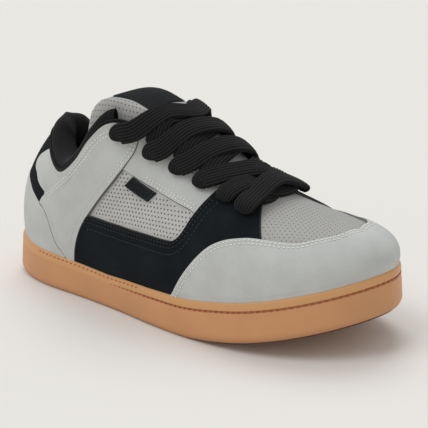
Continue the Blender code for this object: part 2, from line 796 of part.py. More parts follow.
def lace_on_tongue(share, across, step=0.03):
    """Middle of the lace above the tongue, and the tongue's normal there."""
    along = tongue_top(share - step, across) - tongue_top(share + step, across)
    over = tongue_top(share, across + step) - tongue_top(share, across - step)
    normal = np.cross(along, over)
    normal /= np.linalg.norm(normal)
    return tongue_top(share, across) + normal * (LACE_GAP + 0.5 * LACE_THICKNESS), normal


def lace_path(stops, steps=3):
    """Path and facing through the stops of one run."""
    path = smooth_path([place for place, normal in stops], steps)
    index = np.linspace(0, len(stops) - 1, len(path))
    normals = [np.interp(index, range(len(stops)), [normal[k] for place, normal in stops]) for k in range(3)]
    normals = np.column_stack(normals)
    return path, normals / np.linalg.norm(normals, axis=1)[:, None]


def make_laces(material):
    """One bar at the toe and five pairs of crossings, joined into one piece above the tongue."""
    pieces = []

    def add_strap(path, normals):
        shell = Shell()
        strap(shell, path, normals, LACE_WIDTH, LACE_THICKNESS)
        pieces.append(shell.build("lace_run_%d" % len(pieces), material))

    def over_edge(eyelet, side):
        share, level, lift, reach = eyelet
        return [lace_end(share, level, side, lift), lace_end(share, THROAT_EDGE, side, lift)]

    share, level, lift, reach = EYELETS[0]
    levels = (level, 0.5 * (level + THROAT_EDGE), THROAT_EDGE)
    lateral, medial = [[lace_end(share, t, side, lift) for t in levels] for side in (LATERAL, MEDIAL)]
    dip = np.array((0.0, 0.0, LACE_BAR_SAG))
    middle = (0.5 * (lateral[-1][0] + medial[-1][0]) - dip, lateral[-1][1] + medial[-1][1])
    add_strap(*lace_path(lateral[:2] + [middle] + medial[1::-1]))
    for eyelet, following in zip(EYELETS, EYELETS[1:]):
        middle = eyelet[0] + CROSSING_SHARE * (following[0] - eyelet[0])
        tucked = eyelet[0] + LACE_TUCK * (following[0] - eyelet[0])
        for side in (LATERAL, MEDIAL):
            stops = over_edge(following, side) + [lace_on_tongue(middle, 0.0)]
            add_strap(*lace_path(stops + [lace_on_tongue(tucked, -side * eyelet[3])]))
    laces = pieces[0]
    laces.name = "laces"
    for other in pieces[1:]:
        join = laces.modifiers.new(other.name, "BOOLEAN")
        join.operation = "UNION"
        join.solver = "EXACT"
        join.object = other
        other.hide_render = True
        other.display_type = "WIRE"
    return laces


def make_label(material):
    """Woven label on the tongue's crown, near its free end."""
    shell = Shell()
    rows = []
    shares = np.linspace(LABEL_START, TONGUE[-1][0], 6)
    for offset in (FIT_GAP, FIT_GAP + LABEL_THICKNESS):
        for share in shares:
            place = tongue_face(share, 3)[3:-3]
            place[:, 2] += offset
            rows.append(shell.add(place))
    bottom, upper = rows[:len(shares)], rows[len(shares):]
    for rows_of in (bottom, upper):
        for near, far in zip(rows_of, rows_of[1:]):
            shell.band(near, far, closed=False)
    shell.band(bottom[0], upper[0], closed=False)
    shell.band(bottom[-1], upper[-1], closed=False)
    for end in (0, -1):
        shell.band([row[end] for row in bottom], [row[end] for row in upper], closed=False)
    return shell.build("tongue_label", material)


def main():
    """Build every piece of the shoe."""
    for old in list(bpy.data.objects):
        bpy.data.objects.remove(old)
    gum = finish("gum_rubber", (0.56, 0.27, 0.12), 0.55)
    suede = finish("grey_suede", (0.43, 0.44, 0.41), 0.95)
    mesh_leather = finish("perforated_leather", (0.50, 0.48, 0.45), 0.8)
    black = finish("black_suede", (0.006, 0.009, 0.011), 0.95)
    cloth = finish("black_lining", (0.010, 0.010, 0.011), 0.9)
    lace = finish("black_lace", (0.018, 0.018, 0.018), 0.9)
    footbed = finish("footbed_cloth", (0.03, 0.03, 0.03), 0.95)
    woven = finish("woven_label", (0.008, 0.012, 0.012), 0.6)

    make_outsole(gum)
    make_insole(footbed)
    upper = make_upper(mesh_leather)
    panel("toe_cap", TOE_CAP, (LATERAL, MEDIAL), suede, 6)
    panel("heel_counter", HEEL_COUNTER, (LATERAL, MEDIAL), suede, 6)
    panel("heel_patch", HEEL_PATCH, (LATERAL, MEDIAL), cloth, 7)
    places = [(side * share, level) for side in (LATERAL, MEDIAL) for share, level, lift, reach in EYELETS]
    punch_eyelets(upper, places)
    for side in (LATERAL, MEDIAL):
        word = side_name(side)
        holes = [(side * share, level) for share, level, lift, reach in EYELETS]
        punch_eyelets(panel("side_panel_" + word, SIDE_PANEL, (side,), black, 6, steps=1), holes[:2])
        punch_eyelets(panel("eyestay_" + word, EYESTAY, (side,), suede, 5), holes[2:5])
        punch_eyelets(panel("quarter_band_" + word, QUARTER_BAND, (side,), suede, 14, steps=1), holes[5:])
    panel("side_tag", SIDE_TAG, (LATERAL,), woven, 2, thickness=TAG_THICKNESS, steps=1)
    make_collar(cloth)
    make_tongue(mesh_leather)
    make_label(woven)
    make_laces(lace)


main()
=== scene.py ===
"""Looks of a right low-top skateboarding shoe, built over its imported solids.

Metres, +X to the toe, +Y to the medial side, +Z up, as in the frame. Places on the upper are given
as a share w round the sole (0 toe, -1 lateral heel, +1 medial heel) and a share t from rim to top edge.
"""

import json
import logging
import math
from dataclasses import dataclass, field
from enum import Enum
from functools import lru_cache
from typing import ClassVar, Sequence

import bmesh
import bpy
import numpy as np
from mathutils import Matrix, Vector
from mathutils.bvhtree import BVHTree

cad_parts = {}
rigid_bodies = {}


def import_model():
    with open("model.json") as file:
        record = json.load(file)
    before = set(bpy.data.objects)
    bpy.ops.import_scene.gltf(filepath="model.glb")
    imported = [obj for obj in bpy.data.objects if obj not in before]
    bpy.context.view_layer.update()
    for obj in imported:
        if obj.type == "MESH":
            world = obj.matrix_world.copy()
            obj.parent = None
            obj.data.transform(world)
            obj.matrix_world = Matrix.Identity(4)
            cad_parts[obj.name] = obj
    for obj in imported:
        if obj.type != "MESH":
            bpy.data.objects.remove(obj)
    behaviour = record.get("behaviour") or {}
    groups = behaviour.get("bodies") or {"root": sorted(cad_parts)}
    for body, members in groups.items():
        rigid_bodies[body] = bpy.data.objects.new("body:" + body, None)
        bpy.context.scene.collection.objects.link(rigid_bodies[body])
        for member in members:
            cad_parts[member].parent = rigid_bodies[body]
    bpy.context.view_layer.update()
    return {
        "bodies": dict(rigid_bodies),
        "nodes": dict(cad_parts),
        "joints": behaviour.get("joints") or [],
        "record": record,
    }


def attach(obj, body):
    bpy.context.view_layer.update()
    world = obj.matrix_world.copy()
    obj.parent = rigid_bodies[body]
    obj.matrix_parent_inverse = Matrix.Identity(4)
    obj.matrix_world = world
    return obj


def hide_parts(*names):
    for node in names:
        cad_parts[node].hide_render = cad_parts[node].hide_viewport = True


LOG = logging.getLogger("shoe")
MM = 0.001
# Distance under which the vertices of two meeting edges are joined
WELD = 1e-6

# Sole
SOLE_LENGTH = 0.300
BALL_WIDTH = 0.116
HEEL_WIDTH = 0.088
TOE_SPRING = 0.025
TOE_SPRING_START = 0.030
TOE_SPRING_CURVE = 1.6
HEEL_LIFT = 0.003
HEEL_LIFT_RUN = 0.040
SOLE_HEEL_HEIGHT = 0.027
SOLE_WAIST_HEIGHT = 0.022
SOLE_TOE_HEIGHT = 0.026
CUP_WALL = 0.0045
CUP_FLOOR = 0.012
SOLE_EDGE_ROUND = 0.003
GROOVE_DEPTH = 0.0011
FIT_GAP = 0.0003

# Upper
UPPER_WALL = 0.0026
TOE_BOX_HEIGHT = 0.073
VAMP_HEIGHT = 0.084
INSTEP_HEIGHT = 0.123
ANKLE_HEIGHT = 0.083
HEEL_HEIGHT = 0.106
COLLAR_ROLL = 0.018
COLLAR_RISE = 0.007
EDGE_GAP = 0.0010

# Tongue and laces
TONGUE_THICKNESS = 0.012
TONGUE_CROWN = 0.0165
TONGUE_GAP = 0.0012
TONGUE_END_RUN = 0.023
TONGUE_END_DROP = 0.013
# Lean and narrowing of the free end, from a share round the sole on
TONGUE_RAKE = 0.45
TONGUE_TAPER = 0.12
TONGUE_RAKE_START = 0.56
# How much flatter than its crown the top face gets, between two shares round the sole
TONGUE_FLATNESS = 0.80
TONGUE_FLAT_FROM = 0.44
TONGUE_FLAT_TO = 0.57
# Height of the label over the tongue, and the rows and columns of the tongue's grid that it covers
LABEL_RISE = 0.0009
LABEL_ROWS = slice(65, 83)
LABEL_COLUMNS = slice(6, 15)
LACE_WIDTH = 0.0140
LACE_THICKNESS = 0.0040
LACE_BAR_RISE = 0.0040
# How far a lateral crossing lies over the medial one, in lace thicknesses
LACE_OVER = 0.90
# How far outside its eyelet a lace meets the leather
LACE_FOOT = 0.0045

HALF_LENGTH = 0.5 * SOLE_LENGTH
HALF_BALL = 0.5 * BALL_WIDTH
HALF_HEEL = 0.5 * HEEL_WIDTH

# Sole outline: share of the length from the heel, lateral and medial shares of half the local width
OUTLINE = (
    (0.020, -0.46, 0.56),
    (0.070, -0.73, 0.83),
    (0.150, -0.91, 0.97),
    (0.300, -0.985, 0.87),
    (0.420, -0.955, 0.76),
    (0.520, -0.955, 0.78),
    (0.620, -0.985, 0.89),
    (0.700, -1.00, 0.985),
    (0.790, -0.96, 1.00),
    (0.870, -0.815, 0.91),
    (0.940, -0.555, 0.73),
    (0.985, -0.235, 0.36),
)
HEEL_TIP_SHARE = 0.05
TOE_TIP_SHARE = 0.06
# Share of the length at which the sole starts to widen to the ball, and the share that this takes
WIDENING_START = 0.25
WIDENING_RUN = 0.35
# Height of the side wall along the sole: share of half the length, height
WALL_HEIGHTS = (
    (-1.0, SOLE_HEEL_HEIGHT),
    (-0.25, SOLE_WAIST_HEIGHT),
    (0.4, SOLE_TOE_HEIGHT),
    (1.0, SOLE_TOE_HEIGHT),
)

# Top edge of the upper: share round the sole, share of half the length,
# lateral and medial shares of half the ball width, share of the named height, named height
TOPLINE = (
    (0.000, 0.700, 0.10, 0.10, 1.000, TOE_BOX_HEIGHT),
    (0.100, 0.660, 0.10, 0.10, 1.012, TOE_BOX_HEIGHT),
    (0.200, 0.570, 0.09, 0.09, 1.060, TOE_BOX_HEIGHT),
    (0.280, 0.460, 0.05, 0.05, 0.985, VAMP_HEIGHT),
    (0.330, 0.410, -0.15, 0.22, 1.010, VAMP_HEIGHT),
    (0.400, 0.270, -0.27, 0.33, 1.070, VAMP_HEIGHT),
    (0.480, 0.090, -0.32, 0.37, 0.820, INSTEP_HEIGHT),
    (0.560, -0.090, -0.39, 0.41, 0.920, INSTEP_HEIGHT),
    (0.615, -0.205, -0.46, 0.45, 0.990, INSTEP_HEIGHT),
    (0.660, -0.300, -0.53, 0.51, 0.985, INSTEP_HEIGHT),
    (0.710, -0.390, -0.585, 0.57, 0.890, INSTEP_HEIGHT),
    (0.760, -0.470, -0.60, 0.59, 1.135, ANKLE_HEIGHT),
    (0.820, -0.575, -0.57, 0.60, 1.000, ANKLE_HEIGHT),
    (0.870, -0.665, -0.46, 0.52, 1.040, ANKLE_HEIGHT),
    (0.910, -0.730, -0.33, 0.40, 1.130, ANKLE_HEIGHT),
    (0.950, -0.775, -0.18, 0.26, 0.960, HEEL_HEIGHT),
    (1.000, -0.805, 0.05, 0.05, 1.000, HEEL_HEIGHT),
)
THROAT_FRONT = 0.280
THROAT_EDGE = 0.985
# How far before the throat the closed vamp starts to open, and the share that this takes
VAMP_OPENS = 0.03
VAMP_OPENING = 0.10

# Side profile: share round the sole, bulge, height of the lower handle, plan and height of the upper handle
PROFILE = (
    (0.00, 0.052, 0.66, 0.70, 0.00),
    (0.20, 0.052, 0.62, 0.64, 0.00),
    (0.32, 0.034, 0.55, 0.55, 0.05),
    (0.45, 0.017, 0.50, 0.45, 0.22),
    (0.60, 0.017, 0.45, 0.30, 0.40),
    (0.77, 0.034, 0.45, 0.20, 0.35),
    (0.88, 0.034, 0.44, 0.72, 0.30),
    (1.00, 0.034, 0.42, 0.98, 0.36),
)

# Side wall of the cupsole: share of its height, inset in shares of the edge rounding
SOLE_SIDE = (
    (0.00, 1.00),
    (0.02, 0.55),
    (0.06, 0.20),
    (0.14, 0.00),
    (0.30, 0.10),
    (0.45, 0.18),
    (0.70, 0.38),
    (0.86, 0.46),
    (0.93, 0.55),
    (0.975, 0.80),
    (1.00, 1.15),
)
# Stitch groove under the lip: share of the wall height, share of the groove depth
GROOVE = ((0.725, 0.0), (0.740, 0.55), (0.755, 1.0), (0.770, 1.0), (0.785, 0.55), (0.800, 0.0))
GROOVE_MIDDLE = 0.7625

# Levels of the overlays' hems, down inside the cup, and of their top edges
HEM = -0.20
TOP = 0.996
# Overlays, toe to heel: share and level of the lower edge, share and level of the upper edge
TOE_CAP = (
    (0.000, HEM, 0.000, 0.745),
    (0.040, HEM, 0.040, 0.732),
    (0.078, HEM, 0.073, 0.706),
    (0.143, HEM, 0.140, 0.612),
    (0.172, HEM, 0.172, 0.555),
    (0.205, HEM, 0.203, 0.522),
    (0.255, HEM, 0.255, 0.500),
    (0.300, HEM, 0.297, 0.482),
    (0.335, HEM, 0.330, 0.458),
    (0.368, HEM, 0.358, 0.400),
    (0.396, HEM, 0.382, 0.300),
    (0.425, HEM, 0.412, 0.140),
    (0.443, HEM, 0.436, 0.000),
    (0.452, HEM, 0.450, -0.080),
)
SIDE_PANEL = (
    (0.247, 0.400, 0.320, TOP),
    (0.277, 0.390, 0.338, TOP),
    (0.310, 0.370, 0.356, TOP),
    (0.338, 0.300, 0.374, TOP),
    (0.362, 0.190, 0.390, TOP),
    (0.380, 0.060, 0.400, 0.990),
    (0.400, -0.15, 0.411, 0.800),
    (0.425, HEM, 0.422, 0.610),
    (0.440, HEM, 0.432, 0.450),
    (0.458, HEM, 0.445, 0.366),
    (0.478, HEM, 0.466, 0.340),
    (0.527, HEM, 0.527, 0.330),
    (0.580, HEM, 0.580, 0.320),
    (0.633, HEM, 0.633, 0.313),
    (0.700, HEM, 0.680, 0.330),
    (0.735, HEM, 0.705, 0.340),
)
EYESTAY = (
    (0.395, 0.560, 0.380, TOP),
    (0.431, 0.618, 0.425, TOP),
    (0.465, 0.630, 0.455, TOP),
    (0.501, 0.652, 0.490, TOP),
    (0.531, 0.673, 0.520, TOP),
    (0.574, 0.694, 0.565, TOP),
    (0.625, 0.715, 0.620, TOP),
)
# Rear quarter band, top to bottom: share and level of the front edge, share and level of the rear edge
QUARTER_BAND = (
    (0.584, TOP, 0.906, TOP),
    (0.586, 0.930, 0.914, 0.920),
    (0.589, 0.870, 0.920, 0.845),
    (0.595, 0.815, 0.919, 0.775),
    (0.602, 0.765, 0.908, 0.728),
    (0.609, 0.715, 0.888, 0.703),
    (0.617, 0.665, 0.860, 0.667),
    (0.625, 0.610, 0.841, 0.640),
    (0.640, 0.525, 0.843, 0.560),
    (0.655, 0.440, 0.842, 0.490),
    (0.671, 0.355, 0.823, 0.438),
    (0.685, 0.290, 0.801, 0.338),
    (0.697, 0.210, 0.781, 0.200),
    (0.706, 0.110, 0.763, 0.085),
    (0.710, 0.000, 0.738, 0.000),
    (0.711, HEM, 0.722, HEM),
)
HEEL_COUNTER = (
    (0.712, HEM, 0.712, -0.080),
    (0.722, HEM, 0.720, 0.030),
    (0.745, HEM, 0.745, 0.100),
    (0.770, HEM, 0.765, 0.240),
    (0.795, HEM, 0.790, 0.380),
    (0.820, HEM, 0.817, 0.465),
    (0.843, HEM, 0.843, 0.492),
    (0.861, HEM, 0.861, 0.524),
    (0.882, HEM, 0.882, 0.547),
    (0.902, HEM, 0.902, 0.568),
    (0.950, HEM, 0.950, 0.585),
    (1.000, HEM, 1.000, 0.590),
)
HEEL_PATCH = (
    (0.826, 0.440, 0.826, 0.650),
    (0.845, 0.440, 0.845, 0.710),
    (0.865, 0.460, 0.865, 0.760),
    (0.885, 0.480, 0.885, 0.830),
    (0.902, 0.500, 0.900, 0.930),
    (0.915, 0.510, 0.910, TOP),
    (0.945, 0.520, 0.942, TOP),
    (0.972, 0.530, 0.970, TOP),
    (1.000, 0.530, 1.000, TOP),
)
SIDE_TAG = (
    (0.537, 0.562, 0.522, 0.650),
    (0.568, 0.584, 0.553, 0.672),
    (0.598, 0.606, 0.584, 0.694),
)
# Stitch row of the rear quarter, along its top edge and down to the heel patch: share and level
EAR_SEAM = (
    (0.600, 0.962),
    (0.660, 0.962),
    (0.710, 0.962),
    (0.750, 0.957),
    (0.774, 0.945),
    (0.795, 0.925),
    (0.812, 0.880),
    (0.824, 0.800),
    (0.832, 0.720),
    (0.837, 0.662),
)
# Eyelets: share round the sole, level, lift of the lace there, and where its crossing passes the middle of
# the tongue, as a share of the way from the eyelet before it
EYELETS = (
    (0.325, 0.740, 0.40, 0.00),
    (0.375, 0.830, 0.35, 0.05),
    (0.435, 0.880, 0.20, 0.05),
    (0.490, 0.900, 0.15, 0.00),
    (0.550, 0.915, 0.15, -0.08),
    (0.625, 0.930, 0.25, -0.35),
)

# Collar roll: share round the sole, share of the roll's thickness, lateral and medial share of its rise
COLLAR = (
    (0.645, 0.20, 0.15, 0.15),
    (0.680, 0.28, 0.32, 0.34),
    (0.710, 0.42, 0.40, 1.10),
    (0.760, 0.70, 0.65, 1.75),
    (0.820, 0.92, 0.95, 1.95),
    (0.870, 1.00, 1.00, 1.75),
    (0.920, 0.90, 1.10, 1.40),
    (1.000, 0.75, 1.00, 1.00),
)
# Section of the roll, over the top edge and down inside: inward share of its thickness, share of its rise
ROLL_SECTION = (
    (0.03, 0.55),
    (0.25, 0.95),
    (0.50, 1.00),
    (0.80, 0.70),
    (1.00, -0.10),
    (0.98, -1.20),
    (0.80, -2.40),
)
# Levels of its back, up along the inside of the upper
COLLAR_LEVELS = (0.60, 0.76, 0.86, 0.95, 1.0)
# Share round the sole over which its top turns round the heel
COLLAR_HEEL_ROUND = 0.070
PIPING_RADIUS = 0.00115
PIPING_RISE = 0.0004

# Tongue: share round the sole, level of the side edges, share of the thickness, share of the crown
TONGUE = (
    (0.262, 0.930, 0.28, -0.14),
    (0.300, 0.900, 0.32, -0.08),
    (0.350, 0.860, 0.38, 0.06),
    (0.420, 0.850, 0.46, 0.26),
    (0.500, 0.850, 0.58, 0.46),
    (0.560, 0.850, 0.72, 0.62),
    (0.600, 0.850, 0.86, 0.82),
    (0.640, 0.850, 1.00, 1.00),
)
# Free end of the tongue: share of the end run, width share, thickness share, share of the end drop
TONGUE_END = (
    (0.40, 0.98, 1.02, 0.10),
    (0.75, 0.95, 0.90, 0.45),
    (0.93, 0.90, 0.62, 0.78),
    (1.00, 0.84, 0.35, 1.00),
)
# How far the padding and the laces lift the tongue over the throat: share and share of the puff
TONGUE_PUFFS = (
    (0.30, 0.0),
    (0.34, 0.25),
    (0.38, 0.65),
    (0.43, 1.0),
    (0.50, 1.0),
    (0.56, 0.75),
    (0.60, 0.35),
    (0.64, 0.1),
)
TONGUE_PUFF = 0.0100

# Heights of the layers over the skin of the upper
EYESTAY_RISE = 0.0013
PANEL_RISE = 0.0018
COUNTER_RISE = 0.0016
PATCH_RISE = 0.0011
BAND_RISE = 0.0021
CAP_RISE = 0.0023
TAG_RISE = 0.0026

# Stitches: length, width and height of one, distance between two, and of the rows from an edge
STITCH_SIZE = (0.0019, 0.00075, 0.00055)
STITCH_LIFT = 0.15 * STITCH_SIZE[2]
STITCH_PITCH = 0.0028
STITCH_ROWS = (0.0020, 0.0042)
PANEL_ROWS = (0.0022, 0.0046, 0.0085)
GUM_STITCH_SIZE = (0.0026, 0.0010, 0.0009)
GUM_STITCH_PITCH = 0.0042
# Rows of an overlay's edge along which it is sewn
CAP_SEAM = slice(8, -8)
BAND_SEAM = slice(12, 74)
EYESTAY_SEAM = slice(10, 48)
PANEL_SEAM = slice(60, -8)
COUNTER_SEAM = slice(87, 141)
# Where along x the groove of the sole comes up from nothing to its full depth
GROOVE_FADE = (-0.035, 0.010)
# Share of the wall's height of the seam along the rim, and where it runs along x
RIM_SEAM_LEVEL = 0.93
RIM_SEAM_RUN = (-0.110, -0.005)
# Soft creases: w and t of both ends, half width and depth
CREASES = (
    (-0.300, 0.560, -0.322, 0.860, 0.0040, 0.0008),
    (-0.345, 0.440, -0.372, 0.760, 0.0045, 0.0007),
    (0.312, 0.480, 0.330, 0.840, 0.0045, 0.0009),
    (0.352, 0.420, 0.380, 0.700, 0.0050, 0.0007),
    (-0.262, 0.940, 0.268, 0.930, 0.0050, 0.0006),
    (-0.700, 0.560, -0.770, 0.760, 0.0060, 0.0009),
    (-0.735, 0.860, -0.790, 0.700, 0.0050, 0.0008),
    (-0.640, 0.480, -0.690, 0.640, 0.0060, 0.0006),
    (0.690, 0.520, 0.760, 0.740, 0.0060, 0.0009),
    (0.780, 0.640, 0.830, 0.480, 0.0055, 0.0008),
    (-0.880, 0.620, -0.905, 0.800, 0.0045, 0.0007),
    (0.880, 0.600, 0.900, 0.780, 0.0045, 0.0007),
    (-0.500, 0.160, -0.600, 0.210, 0.0060, 0.0006),
    (-0.160, 0.560, -0.215, 0.420, 0.0070, 0.0006),
    (0.170, 0.520, 0.225, 0.380, 0.0070, 0.0006),
)
CREASE_SCALE = (0.360, 0.075)
# Share of each end of a crease over which it fades
CREASE_TAPER = 0.08
# Marks that darken the counter's seam
SEAM_SHADOW_SIZE = (0.0034, 0.0007, 0.0003)
SHADOW_LIFT = 0.0001
# Holes in the leather: their widths, their distance and how far they lie over it
WINDOW_HOLE = 0.00105
VAMP_HOLE = 0.00070
TONGUE_HOLE = 0.00090
HOLE_PITCH = 0.0029
HOLE_LIFT = 0.00006
# Fields of holes: w and t or place of the middle, direction of the rows, half length and half height
WINDOW_MIDDLE = (0.53, 0.50)
WINDOW_ROWS = (0.995, 0.0, 0.04)
WINDOW_REACH = (0.045, 0.024)
VAMP_MIDDLE = (0.0, 0.95)
VAMP_REACH = (0.045, 0.045)
TONGUE_MIDDLE = (-0.030, 0.022, 0.120)
TONGUE_SLOPE = (0.8, 0.6)
TONGUE_REACH = (0.040, 0.018)

# Camera, from the perspective of the photograph
CAMERA_AZIMUTH = 39.5
CAMERA_ELEVATION = 16.3
CAMERA_ROLL = 0.7
CAMERA_DISTANCE = 0.80
CAMERA_TARGET = (0.0, 0.0, 0.060)
CAMERA_LENS = 102.3
SENSOR = 36.0
CAMERA_SHIFT = 0.0498

# Studio: lamps by name, place and strength, with the angle of their soft edge, and the floor
LAMPS = (("key", (-0.6, -1.1, 1.9), 0.72), ("back", (-0.7, 0.9, 2.0), 0.88))
LAMP_ANGLE = 35.0
FLOOR_REACH = 12.0
FLOOR_COLOUR = (0.80, 0.785, 0.755)
# Pale surroundings: colour, and strength as light and as the camera sees them
WORLD_COLOUR = (1.0, 0.995, 0.985, 1)
WORLD_LIGHT = 0.59
WORLD_SEEN = 0.80


class Side(Enum):
    """Sides of the shoe, by the sign of y and of w."""

    LATERAL = -1
    MEDIAL = 1

    @property
    def other(self) -> "Side":
        """The opposite side."""
        return Side(-self.value)

    @property
    def word(self) -> str:
        """Name of the side in the names of pieces."""
        return self.name.lower()


def smoothstep(value: np.ndarray) -> np.ndarray:
    """Smooth rise from 0 to 1."""
    value = np.clip(value, 0.0, 1.0)
    return value * value * (3 - 2 * value)


def unit(vectors: np.ndarray) -> np.ndarray:
    """Vectors scaled to a length of 1."""
    return vectors / np.maximum(np.linalg.norm(vectors, axis=-1, keepdims=True), 1e-12)


def run_of(path: np.ndarray) -> np.ndarray:
    """Length along a path up to each of its points."""
    return np.concatenate([[0.0], np.cumsum(np.linalg.norm(np.diff(path, axis=0), axis=1))])


def blend(t: np.ndarray, t0: float, first: np.ndarray, t1: float, last: np.ndarray) -> np.ndarray:
    """Point at t on the line that is at first at t0 and at last at t1."""
    return ((t1 - t) * first + (t - t0) * last) / (t1 - t0)


def smooth_path(points: Sequence, steps: int, closed: bool = False) -> np.ndarray:
    """Curve through points, with short handles at close neighbours.

    Args:
        points: rows of numbers.
        steps: points added for each stretch between two of them.
        closed: whether the last point joins the first.

    Returns:
        The dense rows.
    """
    points = np.asarray(points, float)
    if closed:
        padded = np.vstack([points[-1:], points, points[:2]])
    else:
        padded = np.vstack([2 * points[0] - points[1], points, 2 * points[-1] - points[-2]])
    dense = []
    for p0, p1, p2, p3 in zip(padded, padded[1:], padded[2:], padded[3:]):
        spans = [max(np.linalg.norm(b - a), 1e-9) ** 0.5 for a, b in ((p0, p1), (p1, p2), (p2, p3))]
        t0, t1, t2, t3 = np.cumsum([0.0] + spans)
        t = np.linspace(t1, t2, steps, endpoint=False)[:, None]
        middle = blend(t, t1, p1, t2, p2)
        before = blend(t, t0, blend(t, t0, p0, t1, p1), t2, middle)
        behind = blend(t, t1, middle, t3, blend(t, t2, p2, t3, p3))
        dense.extend(blend(t, t1, before, t2, behind))
    if not closed:
        dense.append(points[-1])
    return np.array(dense)


def fold(w: np.ndarray) -> np.ndarray:
    """Share from the toe, whichever way round the sole."""
    share = np.abs(w)
    return np.where(share > 1, 2 - share, share)


@lru_cache(maxsize=None)
def smooth_rows(rows: tuple, steps: int) -> np.ndarray:
    """Smoothed rows of a table."""
    return smooth_path(rows, steps)


def read_table(rows: tuple, share: np.ndarray, steps: int = 12) -> list[np.ndarray]:
    """Read a table at shares of its first column.

    Args:
        rows: the table.
        share: where to read it.
        steps: points added for each stretch between two rows.

    Returns:
        Its other columns, smoothed.
    """
    dense = smooth_rows(rows, steps)
    share = np.atleast_1d(share)
    return [np.interp(share, dense[:, 0], dense[:, k]) for k in range(1, dense.shape[1])]


def resample(path: np.ndarray, pitch: float, start: float = 0.0) -> np.ndarray:
    """Find places that are one pitch apart along a path.

    Args:
        path: rows of coordinates.
        pitch: distance between two places.
        start: distance of the first place from the path's start.

    Returns:
        Fractional row numbers of the places.
    """
    run = run_of(path)
    places = np.arange(start, run[-1], pitch)
    return np.interp(places, run, np.arange(len(path)))


def take(rows: np.ndarray, index: np.ndarray) -> np.ndarray:
    """Rows read at fractional row numbers."""
    numbers = np.arange(len(rows))
    return np.column_stack([np.interp(index, numbers, rows[:, k]) for k in range(rows.shape[1])])


